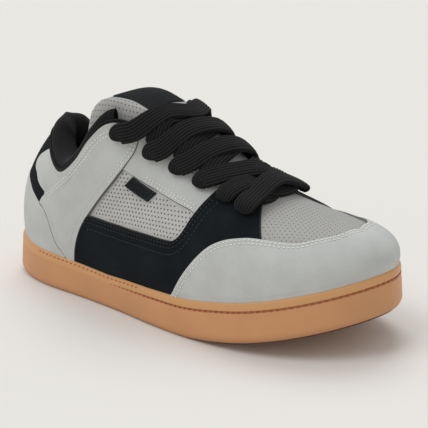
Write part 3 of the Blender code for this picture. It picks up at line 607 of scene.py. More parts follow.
class Last:
    """Form of the shoe: edge of the sole and skin of the upper, from the tables above."""

    def __init__(self) -> None:
        """Work the tables out in metres."""
        self.top_rows = tuple(
            (share, x * HALF_LENGTH, lateral * HALF_BALL, medial * HALF_BALL, z * height)
            for share, x, lateral, medial, z, height in TOPLINE
        )
        self.sides = self._outline_sides()

    @staticmethod
    def half_width(share: np.ndarray) -> np.ndarray:
        """Half of the sole's local width, from heel to ball."""
        return HALF_HEEL + (HALF_BALL - HALF_HEEL) * smoothstep((share - WIDENING_START) / WIDENING_RUN)

    def _outline_sides(self) -> dict[int, np.ndarray]:
        """Toe-to-heel polylines of the sole's two edges, by the sign of their side."""
        lateral = [((s - 0.5) * SOLE_LENGTH, a * self.half_width(s)) for s, a, b in OUTLINE]
        medial = [((s - 0.5) * SOLE_LENGTH, b * self.half_width(s)) for s, a, b in OUTLINE]
        heel = (-HALF_LENGTH, HEEL_TIP_SHARE * self.half_width(0.0))
        toe = (HALF_LENGTH, TOE_TIP_SHARE * self.half_width(1.0))
        steps = 16
        dense = smooth_path([toe] + lateral[::-1] + [heel] + medial, steps, closed=True)
        cut = (len(lateral) + 1) * steps
        return {-1: dense[:cut + 1], 1: np.vstack([dense[cut:], dense[:1]])[::-1]}

    def _walk(self, side: int, share: np.ndarray) -> np.ndarray:
        """Plan point on one edge of the sole.

        Args:
            side: -1 for the lateral edge, 1 for the medial one.
            share: shares of the edge's length from the toe.

        Returns:
            Rows of x and y.
        """
        path = self.sides[side]
        run = run_of(path)
        return np.column_stack([np.interp(share, run / run[-1], path[:, k]) for k in (0, 1)])

    def loop_point(self, w: np.ndarray) -> np.ndarray:
        """Plan point of the outline."""
        w = np.atleast_1d(np.asarray(w, float))
        w = np.where(w > 1, w - 2, np.where(w < -1, w + 2, w))
        return np.where((w < 0)[:, None], self._walk(-1, -w), self._walk(1, w))

    def loop_inward(self, w: np.ndarray) -> np.ndarray:
        """Plan normal of the outline, pointing into the shoe."""
        w = np.atleast_1d(np.asarray(w, float))
        step = 0.006
        run = self.loop_point(w + step) - self.loop_point(w - step)
        return unit(np.column_stack([-run[:, 1], run[:, 0]]))

    @staticmethod
    def sole_bottom(x: np.ndarray) -> np.ndarray:
        """Height of the tread face."""
        toe = np.clip((x - TOE_SPRING_START) / (HALF_LENGTH - TOE_SPRING_START), 0, 1)
        heel = np.clip((HEEL_LIFT_RUN - HALF_LENGTH - x) / HEEL_LIFT_RUN, 0, 1)
        return TOE_SPRING * toe ** TOE_SPRING_CURVE + HEEL_LIFT * heel ** 2

    @staticmethod
    def wall_height(x: np.ndarray) -> np.ndarray:
        """Height of the sole's side wall."""
        shares, heights = zip(*WALL_HEIGHTS)
        return np.interp(x, np.array(shares) * HALF_LENGTH, heights)

    def rim_height(self, x: np.ndarray) -> np.ndarray:
        """Height of the sole's top lip."""
        return self.sole_bottom(x) + self.wall_height(x)

    def top_point(self, w: np.ndarray) -> np.ndarray:
        """Top edge of the upper."""
        x, lateral, medial, z = read_table(self.top_rows, fold(np.atleast_1d(w)))
        side = np.where(w > 1, -1, np.where(w < -1, 1, np.sign(w)))
        return np.column_stack([x, np.where(side < 0, lateral, medial), z])

    def point(self, w: np.ndarray, t: np.ndarray) -> np.ndarray:
        """Outer skin of the upper: a curve from rim to top edge, whose two handles PROFILE gives.

        Args:
            w: shares round the sole.
            t: shares from rim to top edge; below 0 the skin goes down into the cup.

        Returns:
            One point for each pair.
        """
        w = np.asarray(w, float).ravel()
        t = np.asarray(t, float).ravel()
        edge = self.loop_point(w)
        inward = self.loop_inward(w)
        foot = edge + inward * (CUP_WALL + FIT_GAP)
        rim = np.column_stack([foot, self.rim_height(edge[:, 0])])
        floor = self.sole_bottom(edge[:, 0]) + CUP_FLOOR + FIT_GAP
        top = self.top_point(w)
        share = fold(w)
        bulge, low, out, drop = read_table(PROFILE, share)
        rise = top[:, 2] - rim[:, 2]
        lower = rim.copy()
        lower[:, :2] -= inward * (bulge * HALF_BALL)[:, None]
        lower[:, 2] += low * rise
        upper = top.copy()
        upper[:, :2] += (rim[:, :2] - top[:, :2]) * out[:, None]
        step = 0.01
        ahead = self.top_point(np.sign(w + 1e-9) * np.clip(share - step, 0, 1))
        behind = self.top_point(np.sign(w + 1e-9) * np.clip(share + step, 0, 1))
        run = ahead[:, 0] - behind[:, 0]
        slope = (ahead[:, 2] - behind[:, 2]) / np.where(np.abs(run) < 1e-6, 1e-6, run)
        closed = 1 - smoothstep((share - THROAT_FRONT + VAMP_OPENS) / VAMP_OPENING)
        upper[:, 2] += closed * slope * (upper[:, 0] - top[:, 0]) - drop * rise
        u = np.clip(t, 0, 1)[:, None]
        point = rim * (1 - u) ** 3 + 3 * lower * u * (1 - u) ** 2 + 3 * upper * u * u * (1 - u) + top * u ** 3
        point[:, 2] += (floor - rim[:, 2]) * np.clip(-t, 0, 1)
        return point

    def normal(self, w: np.ndarray, t: np.ndarray) -> np.ndarray:
        """Outward normal of the skin.

        Args:
            w: shares round the sole.
            t: shares from rim to top edge.

        Returns:
            One unit vector for each pair.
        """
        w = np.asarray(w, float).ravel()
        t = np.asarray(t, float).ravel()
        step = 0.004
        level = np.minimum(t, 1 - step)
        across = self.point(w + step, level) - self.point(w - step, level)
        up = self.point(w, level + step) - self.point(w, np.where(t < 0, t, np.maximum(level - step, 0)))
        up[t < 0] = (0, 0, 1)
        return unit(np.cross(across, up))

    @staticmethod
    def crease(w: np.ndarray, t: np.ndarray) -> np.ndarray:
        """Depth of the soft creases.

        Args:
            w: shares round the sole.
            t: shares from rim to top edge.

        Returns:
            One depth in metres for each pair.
        """
        place = np.stack(np.broadcast_arrays(w * CREASE_SCALE[0], t * CREASE_SCALE[1]), axis=-1)
        deep = np.zeros(place.shape[:-1])
        for first_w, first_t, last_w, last_t, width, depth in CREASES:
            first = np.array((first_w, first_t)) * CREASE_SCALE
            run = np.array((last_w, last_t)) * CREASE_SCALE - first
            along = np.clip((place - first) @ run / (run @ run), 0, 1)
            gap = np.linalg.norm(place - first - along[..., None] * run, axis=-1)
            fade = np.sin(math.pi * np.clip(along, CREASE_TAPER, 1 - CREASE_TAPER))
            deep += depth * fade * np.exp(-((gap / width) ** 2))
        return deep

    def skin(self, w: np.ndarray, t: np.ndarray, offset: np.ndarray | float = 0.0) -> np.ndarray:
        """Skin with its creases, moved outward along its normal by the offset."""
        grids = np.broadcast_arrays(*(np.asarray(v, float) for v in (w, t, offset)))
        w, t, offset = (grid.ravel() for grid in grids)
        return self.point(w, t) + self.normal(w, t) * (offset - self.crease(w, t))[:, None]

    def beside(self, route: np.ndarray, distance: float) -> np.ndarray:
        """Route over the skin, moved sideways to the left of its run as seen from outside.

        Args:
            route: rows of w and t.
            distance: how far, in metres.

        Returns:
            Rows of w and t of the moved route.
        """
        w, t = route.T
        step = 0.003
        level = np.minimum(t, 1 - step)
        left = np.cross(self.normal(w, t), unit(np.gradient(self.point(w, t), axis=0)))
        along = (self.point(w + step, t) - self.point(w - step, t)) / (2 * step)
        up = (self.point(w, level + step) - self.point(w, level - step)) / (2 * step)
        a, b, c = (np.einsum("ij,ij->i", p, q) for p, q in ((along, along), (along, up), (up, up)))
        p, q = (np.einsum("ij,ij->i", v, left) for v in (along, up))
        area = a * c - b * b
        return route + distance * np.column_stack([(c * p - b * q) / area, (a * q - b * p) / area])


LAST = Last()


@dataclass
class Draft:
    """Vertices, faces and numbers per vertex of one piece."""

    points: list = field(default_factory=list)
    faces: list = field(default_factory=list)
    values: dict = field(default_factory=dict)

    def grid(self, points: np.ndarray, wrap: bool = False, **values: np.ndarray) -> np.ndarray:
        """Add a grid of quads.

        Args:
            points: rows, columns and three coordinates.
            wrap: whether the last column joins the first.
            values: named numbers, one for each point.

        Returns:
            Numbers of the added vertices, in rows and columns.
        """
        rows, columns = points.shape[:2]
        numbers = np.arange(rows * columns).reshape(rows, columns) + len(self.points)
        self.points.extend(points.reshape(-1, 3).tolist())
        right = np.roll(numbers, -1, axis=1)
        last = columns if wrap else columns - 1
        corners = (numbers[:-1], right[:-1], right[1:], numbers[1:])
        quads = np.stack([corner[:, :last] for corner in corners], axis=-1)
        self.faces.extend(quads.reshape(-1, 4).tolist())
        for name, value in values.items():
            store = self.values.setdefault(name, [])
            store.extend([0.0] * (numbers[0, 0] - len(store)))
            store.extend(np.broadcast_to(value, (rows, columns)).ravel().tolist())
        return numbers

    def build(self, name: str, finish: str, weld: float = 0.0, sharp: float = 60.0) -> bpy.types.Object:
        """Make the object, in place, with smooth faces.

        Args:
            name: the object's name.
            finish: name of its finish.
            weld: distance under which vertices are joined.
            sharp: angle in degrees from which an edge stays sharp.

        Returns:
            The object.
        """
        mesh = bpy.data.meshes.new(name)
        mesh.from_pydata(self.points, [], self.faces)
        for label, store in self.values.items():
            store.extend([0.0] * (len(self.points) - len(store)))
            mesh.attributes.new(label, "FLOAT", "POINT").data.foreach_set("value", store)
        work = bmesh.new()
        work.from_mesh(mesh)
        if weld:
            bmesh.ops.remove_doubles(work, verts=work.verts, dist=weld)
        bmesh.ops.dissolve_degenerate(work, dist=1e-7, edges=work.edges)
        bmesh.ops.recalc_face_normals(work, faces=work.faces)
        work.to_mesh(mesh)
        work.free()
        mesh.shade_smooth()
        mesh.set_sharp_from_angle(angle=math.radians(sharp))
        mesh.materials.append(material(finish))
        return link(name, mesh)


def link(name: str, mesh: bpy.types.Mesh) -> bpy.types.Object:
    """Put a mesh into the scene as an object."""
    piece = bpy.data.objects.new(name, mesh)
    bpy.context.scene.collection.objects.link(piece)
    LOG.info("%s: %d vertices, %d faces", name, len(mesh.vertices), len(mesh.polygons))
    return piece


def declare(piece: bpy.types.Object, node: str = "") -> None:
    """Put a piece on the shoe's root body, and hide the node that it stands for.

    Args:
        piece: the object.
        node: the node that it replaces, if any.
    """
    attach(piece, "root")
    if node:
        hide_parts(node)


def border_depth(points: np.ndarray, block: int = 2000) -> np.ndarray:
    """Distance of each point of a grid from the grid's border.

    Args:
        points: rows, columns and three coordinates.
        block: points that are measured at a time.

    Returns:
        Rows and columns of distances.
    """
    border = np.vstack([points[0], points[-1], points[:, 0], points[:, -1]])
    places = points.reshape(-1, 3)
    depth = np.empty(len(places))
    for start in range(0, len(places), block):
        gaps = places[start:start + block, None, :] - border[None, :, :]
        depth[start:start + block] = np.sqrt((gaps ** 2).sum(axis=2).min(axis=1))
    return depth.reshape(points.shape[:2])


def grid_normals(points: np.ndarray) -> np.ndarray:
    """Unit normals of a grid of points, from its rows and columns."""
    return unit(np.cross(np.gradient(points, axis=0), np.gradient(points, axis=1)))


class Value:
    """Number or colour in a node tree that takes part in Python sums."""

    def __init__(self, graph: "Graph", socket: bpy.types.NodeSocket) -> None:
        """Keep the graph and the output that gives the value."""
        self.graph = graph
        self.socket = socket

    def _sum(self, operation: str, *terms: "Value | float") -> "Value":
        """Result of a Math node."""
        return self.graph.node("ShaderNodeMath", dict(enumerate(terms)), operation=operation)

    def __add__(self, other: "Value | float") -> "Value":
        """Both together."""
        return self._sum("ADD", self, other)

    def __sub__(self, other: "Value | float") -> "Value":
        """What is left without the other."""
        return self._sum("SUBTRACT", self, other)

    def __mul__(self, other: "Value | float") -> "Value":
        """One times the other."""
        return self._sum("MULTIPLY", self, other)

    __radd__ = __add__
    __rmul__ = __mul__

    def sine(self) -> "Value":
        """Sine of the number."""
        return self._sum("SINE", self)

    def size(self) -> "Value":
        """Number without its sign."""
        return self._sum("ABSOLUTE", self)

    def rise(self, low: float, high: float) -> "Value":
        """0 below low, 1 above high and smooth between them; falls where low is the larger."""
        inputs = {0: self, 1: low, 2: high, 3: 0.0, 4: 1.0}
        return self.graph.node("ShaderNodeMapRange", inputs, interpolation_type="SMOOTHSTEP", clamp=True)


class Graph:
    """Node tree with one method for every kind of node."""

    def __init__(self, tree: bpy.types.NodeTree) -> None:
        """Keep the tree that gets the nodes."""
        self.tree = tree

    def join(self, value: object, socket: bpy.types.NodeSocket) -> None:
        """Set a socket to a constant or link a value to it."""
        if isinstance(value, Value):
            self.tree.links.new(value.socket, socket)
        else:
            socket.default_value = value

    def node(self, kind: str, inputs: dict | None = None, output: int | str = 0, **settings: object) -> Value:
        """Add a node.

        Args:
            kind: the node's type.
            inputs: values or constants, by the number or name of the input.
            output: which output to hand back.
            settings: properties of the node.

        Returns:
            The chosen output.
        """
        made = self.tree.nodes.new(kind)
        for name, value in settings.items():
            setattr(made, name, value)
        for name, value in (inputs or {}).items():
            self.join(value, made.inputs[name])
        return Value(self, made.outputs[output])

    def place(self) -> Value:
        """Place in the object's own space."""
        return self.node("ShaderNodeTexCoord", output="Object")

    def noise(self, scale: float, detail: float = 2.0, rough: float = 0.5) -> Value:
        """Noise in the object's own space, around 0.5."""
        inputs = {"Vector": self.place(), "Scale": scale, "Detail": detail, "Roughness": rough}
        return self.node("ShaderNodeTexNoise", inputs)

    def cells(self, scale: float) -> Value:
        """Distance to the nearest of scattered points in the object's own space."""
        return self.node("ShaderNodeTexVoronoi", {"Vector": self.place(), "Scale": scale})

    def axis(self, name: str) -> Value:
        """Object coordinate along one axis, in metres."""
        return self.node("ShaderNodeSeparateXYZ", {0: self.place()}, output=name)

    def number(self, name: str) -> Value:
        """Number stored on the piece's vertices."""
        return self.node("ShaderNodeAttribute", output="Fac", attribute_name=name)

    def mix(self, factor: "Value | float", first: "Value | tuple", second: "Value | tuple") -> Value:
        """Blend of two colours."""
        first, second = ((*c, 1) if isinstance(c, tuple) else c for c in (first, second))
        return self.node("ShaderNodeMix", {0: factor, 6: first, 7: second}, output=2, data_type="RGBA")

    def bump(self, height: Value, distance: float) -> Value:
        """Normal that a height in shares of a distance gives."""
        return self.node("ShaderNodeBump", {"Height": height, "Distance": distance, "Strength": 1.0})


def shade(colour: tuple, factor: float) -> tuple:
    """Colour made darker or lighter."""
    return tuple(min(1.0, c * factor) for c in colour)


@dataclass(frozen=True)
class Finish:
    """Look of one kind of surface. Kinds differ in what paint returns."""

    name: str
    colour: tuple
    roughness: float = 0.9
    sheen: float = 0.0
    specular: float = 0.3

    def paint(self, graph: Graph) -> dict:
        """Inputs of the shader that vary over the surface, by name."""
        return {}

    def tones(
        self, graph: Graph, tone: Value, dark: float, light: float, low: float = 0.3, high: float = 0.7
    ) -> Value:
        """Blend the colour from dark to light by a tone.

        Args:
            graph: where the nodes go.
            tone: number that picks the shade.
            dark: factor of the darkest shade.
            light: factor of the lightest shade.
            low: tone of the darkest shade.
            high: tone of the lightest shade.

        Returns:
            The blend.
        """
        return graph.mix(tone.rise(low, high), shade(self.colour, dark), shade(self.colour, light))

    def build(self) -> bpy.types.Material:
        """Make the material."""
        material = bpy.data.materials.new(self.name)
        material.use_nodes = True
        material.diffuse_color = (*self.colour, 1)
        tree = material.node_tree
        shader = tree.nodes["Principled BSDF"]
        graph = Graph(tree)
        inputs = {
            "Base Color": (*self.colour, 1),
            "Roughness": self.roughness,
            "Sheen Weight": self.sheen,
            "Sheen Roughness": 0.5,
            "Specular IOR Level": self.specular,
        }
        inputs.update(self.paint(graph))
        for name, value in inputs.items():
            graph.join(value, shader.inputs[name])
        return material


@dataclass(frozen=True)
class Suede(Finish):
    """Brushed leather: soft nap, cloudy tone, a pale raw edge, and painted shade in the crevice along its
    border.
    """

    edge_colour: tuple = (0.70, 0.70, 0.68)
    edge_width: float = 1.3
    edge_strength: float = 0.45
    # Painted shade along the border, where the edge meets the layer below: width in mm, colour and strength
    painted_shade_width: float = 0.60
    painted_shade_colour: tuple = (0.06, 0.06, 0.06)
    painted_shade_strength: float = 0.85
    cloud: float = 0.10
    cloud_scale: float = 38.0
    brush_scale: float = 420.0
    fibre_scale: float = 2600.0
    nap: float = 0.00022

    def paint(self, graph: Graph) -> dict:
        """Cloudy nap, with a pale raw edge and painted shade at the border, both set by the distance from it.
        """
        cloud = graph.noise(self.cloud_scale, 3.0, 0.6)
        fibre = graph.noise(self.fibre_scale, 3.0, 0.7)
        brushed = graph.noise(self.brush_scale, 4.0, 0.65)
        body = self.tones(graph, 0.55 * cloud + 0.45 * fibre, 1 - self.cloud, 1 + self.cloud)
        edge = graph.number("edge")
        raw = edge.rise(self.edge_width, 0.6 * self.edge_width) * self.edge_strength
        # painted shade: darkens the colour next to the border, where the edge meets the layer below
        painted_shade = edge.rise(self.painted_shade_width, 0.5 * self.painted_shade_width) * self.painted_shade_strength
        colour = graph.mix(painted_shade, graph.mix(raw, body, self.edge_colour), self.painted_shade_colour)
        return {"Base Color": colour, "Normal": graph.bump(0.6 * fibre + 0.8 * brushed, self.nap)}


@dataclass(frozen=True)
class Leather(Finish):
    """Smooth leather with a fine grain."""

    cloud_scale: float = 60.0
    cell_scale: float = 1500.0
    grain_scale: float = 500.0
    grain: float = 0.00012

    def paint(self, graph: Graph) -> dict:
        """Faint clouds over a grain of cells."""
        colour = self.tones(graph, graph.noise(self.cloud_scale), 0.95, 1.05)
        height = graph.cells(self.cell_scale) + graph.noise(self.grain_scale)
        return {"Base Color": colour, "Normal": graph.bump(height, self.grain)}


@dataclass(frozen=True)
class ShellLeather(Leather):
    """Leather of the upper, darker over the vamp than at the sides."""

    vamp_colour: tuple = (0.400, 0.398, 0.388)
    vamp_end: tuple = (0.36, 0.30)

    def paint(self, graph: Graph) -> dict:
        """Leather, darkened by the share round the sole."""
        inputs = super().paint(graph)
        front = graph.number("around").rise(*self.vamp_end)
        inputs["Base Color"] = graph.mix(front, inputs["Base Color"], self.vamp_colour)
        return inputs


@dataclass(frozen=True)
class LinedLeather(Leather):
    """Leather of the tongue, with a dark lining on its underside."""

    lining_colour: tuple = (0.010, 0.010, 0.011)

    def paint(self, graph: Graph) -> dict:
        """Leather, and its lining where the underside is marked."""
        inputs = super().paint(graph)
        inputs["Base Color"] = graph.mix(graph.number("lining"), inputs["Base Color"], self.lining_colour)
        return inputs


@dataclass(frozen=True)
class Cloth(Finish):
    """Knitted or woven cloth: fine crossing threads."""

    pitch: float = 0.0011
    relief: float = 0.00012
    fuzz_scale: float = 900.0

    def paint(self, graph: Graph) -> dict:
        """Threads that cross along the object's axes."""
        turn = 2 * math.pi / self.pitch
        x, y, z = (graph.axis(name) * turn for name in "XYZ")
        weave = (x + y).sine() * (z - 0.5 * x).sine()
        colour = self.tones(graph, graph.noise(self.fuzz_scale) + 0.12 * weave, 0.75, 1.5, high=0.8)
        return {"Base Color": colour, "Normal": graph.bump(weave, self.relief)}


@dataclass(frozen=True)
class Ribbed(Finish):
    """Textile with fine ribs across the heel."""

    pitch: float = 0.0017
    relief: float = 0.00035
    fuzz_scale: float = 1500.0
    edge_colour: tuple = (0.25, 0.25, 0.24)

    def paint(self, graph: Graph) -> dict:
        """Level ribs under a fuzz, with a pale cut edge."""
        ribs = (graph.axis("Z") * (2 * math.pi / self.pitch)).sine()
        fuzz = graph.noise(self.fuzz_scale, 3.0)
        body = self.tones(graph, fuzz, 0.6, 2.0, 0.35, 0.75)
        colour = graph.mix(graph.number("edge").rise(0.7, 0.3) * 0.5, body, self.edge_colour)
        return {"Base Color": colour, "Normal": graph.bump(0.7 * ribs + 0.6 * fuzz, self.relief)}


@dataclass(frozen=True)
class Braid(Finish):
    """Flat braided lace: chevrons along its ribs, with painted shade in the grooves between them."""

    pitch: float = 1.0
    relief: float = 0.00014
    slant: float = 2.2
    fuzz_scale: float = 1800.0

    def paint(self, graph: Graph) -> dict:
        """Plait that slants away from each rib's crest, under a fuzz, with painted shade in the grooves
        between the ribs.
        """
        crest = (graph.number("rib") * math.pi).sine().size()
        along = graph.number("along") * (2 * math.pi / self.pitch)
        plait = (along + self.slant * crest).sine()
        fuzz = graph.noise(self.fuzz_scale, 3.0, 0.7)
        # painted shade: the crest number is 1 midway between the ribs, so the colour darkens in the grooves
        # there
        colour = self.tones(graph, 0.25 * plait + fuzz - 0.9 * crest, 0.35, 2.0, -0.5, 0.9)
        return {"Base Color": colour, "Normal": graph.bump(0.6 * plait + 0.5 * fuzz, self.relief)}


@dataclass(frozen=True)
class Gum(Finish):
    """Gum rubber: a yellower lip, a browner wall and a dull bloom."""

    lip_colour: tuple = (0.640, 0.335, 0.145)
    lip_start: tuple = (0.76, 0.80)
    thread_colour: tuple = (0.42, 0.12, 0.05)
    thread_strength: float = 0.4
    cloud_scale: float = 25.0
    bloom_scale: float = 90.0
    speck_scale: float = 1400.0
    relief: float = 0.00006

    def paint(self, graph: Graph) -> dict:
        """Tone by the level on the wall, with the groove's thread as a line."""
        level = graph.number("level")
        wall = self.tones(graph, graph.noise(self.cloud_scale), 0.95, 1.05)
        low = graph.mix(level.rise(0.25, 0.0), wall, shade(self.colour, 0.90))
        lip = graph.mix(level.rise(*self.lip_start), low, self.lip_colour)
        line = level.rise(0.80, 0.77) * level.rise(0.725, 0.75) * graph.axis("X").rise(*GROOVE_FADE)
        speck = graph.noise(self.speck_scale) + 0.6 * graph.noise(240.0)
        return {
            "Base Color": graph.mix(line * self.thread_strength, lip, self.thread_colour),
            "Roughness": self.roughness + 0.15 * (graph.noise(self.bloom_scale) - 0.5),
            "Normal": graph.bump(speck, self.relief),
        }


@dataclass(frozen=True)
class Tread(Finish):
    """Gum rubber underfoot, moulded in a shallow pattern of crossing bars."""

    pitch: float = 0.009
    relief: float = 0.0011

    def paint(self, graph: Graph) -> dict:
        """Bars that cross at right angles, with painted shade in the hollows between them."""
        turn = 2 * math.pi / self.pitch
        x, y = (graph.axis(name) * turn for name in "XY")
        bars = ((x + y).sine() * (x - y).sine()).rise(-0.25, 0.25)
        # painted shade: the colour is darker where the bars are low
        colour = graph.mix(bars, shade(self.colour, 0.75), self.colour)
        return {"Base Color": colour, "Normal": graph.bump(bars, self.relief)}


@dataclass(frozen=True)
class Woven(Finish):
    """Woven label: fine ribs, bare of any text."""

    pitch: float = 0.0008
    relief: float = 0.0001
    fuzz_scale: float = 1200.0

    def paint(self, graph: Graph) -> dict:
        """Crossing ribs, with a paler selvedge round the border."""
        turn = 2 * math.pi / self.pitch
        ribs = (graph.axis("X") * turn).sine() * (graph.axis("Y") * turn).sine()
        body = self.tones(graph, graph.noise(self.fuzz_scale), 0.8, 1.8, high=0.8)
        colour = graph.mix(graph.number("edge").rise(1.2, 0.8) * 0.5, body, shade(self.colour, 4.0))
        return {"Base Color": colour, "Normal": graph.bump(ribs, self.relief)}


GREY = (0.525, 0.540, 0.525)
PALE_GREY = (0.500, 0.495, 0.482)
BLACK = (0.0085, 0.0112, 0.0138)
LACE_BLACK = (0.0160, 0.0160, 0.0162)
GUM = (0.600, 0.295, 0.135)

FINISHES = {
    finish.name: finish
    for finish in (
        Suede("grey_suede", GREY, 0.95, 0.15),
        ShellLeather("perforated_leather", PALE_GREY, 0.75),
        Leather("vamp_leather", (0.40, 0.39, 0.375), 0.75),
        LinedLeather("tongue_leather", (0.415, 0.410, 0.400), 0.75),
        Suede("black_suede", BLACK, 0.95, 0.02, 0.08, edge_colour=(0.03, 0.03, 0.03), cloud=0.35),
        Ribbed("black_textile", BLACK, 0.95, 0.02, 0.1),
        Cloth("black_lining", (0.0080, 0.0080, 0.0085), 0.85, 0.04, 0.2),
        Cloth("footbed", (0.020, 0.020, 0.021), 0.95, pitch=0.0016),
        Braid("black_lace", LACE_BLACK, 0.9, 0.04, 0.15),
        Woven("woven_label", (0.009, 0.011, 0.012), 0.8, 0.0, 0.15),
        Gum("gum_rubber", GUM, 0.48),
        Tread("gum_tread", GUM, 0.60),
        Finish("pale_thread", (0.86, 0.87, 0.84), 0.8),
        Finish("black_thread", (0.030, 0.033, 0.035), 0.8),
        Finish("gum_thread", (0.45, 0.13, 0.06), 0.7),
        Finish("hole_shadow", (0.045, 0.043, 0.040), 1.0),
    )
}


@lru_cache(maxsize=None)
def material(name: str) -> bpy.types.Material:
    """Material of a finish, made once."""
    return FINISHES[name].build()


class Form(Enum):
    """Small repeated forms."""

    STITCH = "stitch"
    DISC = "disc"


class Scatter:
    """Geometry Nodes tree that puts one small form on each point, turned to its facing and its run."""

    def __init__(self, form: Form) -> None:
        """Make the tree for one form."""
        self.tree = bpy.data.node_groups.new("scatter_" + form.value, "GeometryNodeTree")
        self.inputs = {}
        face = self.tree.interface
        for name, kind in (("Points", "Geometry"), ("Size", "Vector"), ("Finish", "Material")):
            socket = face.new_socket(name=name, in_out="INPUT", socket_type="NodeSocket" + kind)
            self.inputs[name] = socket.identifier
        face.new_socket(name="Geometry", in_out="OUTPUT", socket_type="NodeSocketGeometry")
        graph = Graph(self.tree)
        entry = self.tree.nodes.new("NodeGroupInput")
        points, size, finish = (Value(graph, entry.outputs[name]) for name in ("Points", "Size", "Finish"))
        facing, along = (
            graph.node("GeometryNodeInputNamedAttribute", {"Name": name}, data_type="FLOAT_VECTOR")
            for name in ("facing", "along")
        )
        turned = graph.node("FunctionNodeAlignRotationToVector", {"Vector": facing}, axis="Z")
        both = {"Rotation": turned, "Vector": along}
        turned = graph.node("FunctionNodeAlignRotationToVector", both, axis="X", pivot_axis="Z")
        if form is Form.STITCH:
            shape = graph.node("GeometryNodeMeshUVSphere", {"Segments": 8, "Rings": 4, "Radius": 0.5})
        else:
            shape = graph.node("GeometryNodeMeshCircle", {"Vertices": 10, "Radius": 0.5}, fill_type="NGON")
        inputs = {"Points": points, "Instance": shape, "Rotation": turned, "Scale": size}
        placed = graph.node("GeometryNodeInstanceOnPoints", inputs)
        real = graph.node("GeometryNodeRealizeInstances", {"Geometry": placed})
        smooth = graph.node("GeometryNodeSetShadeSmooth", {0: real})
        dressed = graph.node("GeometryNodeSetMaterial", {"Geometry": smooth, "Material": finish})
        leave = self.tree.nodes.new("NodeGroupOutput")
        graph.join(dressed, leave.inputs[0])

    def build(self, name: str, marks: "Marks", size: tuple, finish: str) -> bpy.types.Object:
        """Make one plain mesh of all the forms.

        Args:
            name: the piece's name.
            marks: the points.
            size: length, width and height of one form.
            finish: name of its finish.

        Returns:
            The piece, which rides on the shoe.
        """
        mesh = bpy.data.meshes.new(name + "_points")
        mesh.from_pydata(np.vstack(marks.points).tolist(), [], [])
        for label, store in (("facing", marks.facing), ("along", marks.along)):
            layer = mesh.attributes.new(label, "FLOAT_VECTOR", "POINT")
            layer.data.foreach_set("vector", np.vstack(store).ravel())
        carrier = bpy.data.objects.new(name + "_points", mesh)
        bpy.context.scene.collection.objects.link(carrier)
        run = carrier.modifiers.new("scatter", "NODES")
        run.node_group = self.tree
        run[self.inputs["Size"]] = size
        run[self.inputs["Finish"]] = material(finish)
        evaluated = carrier.evaluated_get(bpy.context.evaluated_depsgraph_get())
        plain = bpy.data.meshes.new_from_object(evaluated)
        plain.name = name
        carrier.modifiers.remove(run)
        bpy.data.objects.remove(carrier)
        piece = link(name, plain)
        declare(piece)
        return piece


@dataclass
class Marks:
    """Points with a facing and a run, for stitches and holes."""

    points: list = field(default_factory=list)
    facing: list = field(default_factory=list)
    along: list = field(default_factory=list)

    def seam(self, route: np.ndarray, lift: float, pitch: float = STITCH_PITCH) -> None:
        """Add stitches along a route over the skin.

        Args:
            route: rows of w and t.
            lift: height of the stitches' middles over the skin.
            pitch: distance between two stitches.
        """
        path = LAST.skin(route[:, 0], route[:, 1], lift)
        index = resample(path, pitch, 0.5 * pitch)
        places = take(route, index)
        self.points.append(LAST.skin(places[:, 0], places[:, 1], lift))
        self.facing.append(LAST.normal(places[:, 0], places[:, 1]))
        self.along.append(unit(take(np.gradient(path, axis=0), index)))

    def row(self, path: np.ndarray, facing: np.ndarray, pitch: float) -> None:
        """Add marks along a path in space.

        Args:
            path: rows of coordinates.
            facing: the normal at each of them.
            pitch: distance between two marks.
        """
        index = resample(path, pitch, 0.5 * pitch)
        self.points.append(take(path, index))
        self.facing.append(unit(take(facing, index)))
        self.along.append(unit(take(np.gradient(path, axis=0), index)))

    def spot(self, place: np.ndarray, facing: np.ndarray, along: Sequence = (1, 0, 0)) -> None:
        """Add one mark."""
        self.points.append(np.array([place]))
        self.facing.append(np.array([facing]))
        self.along.append(np.array([along], float))


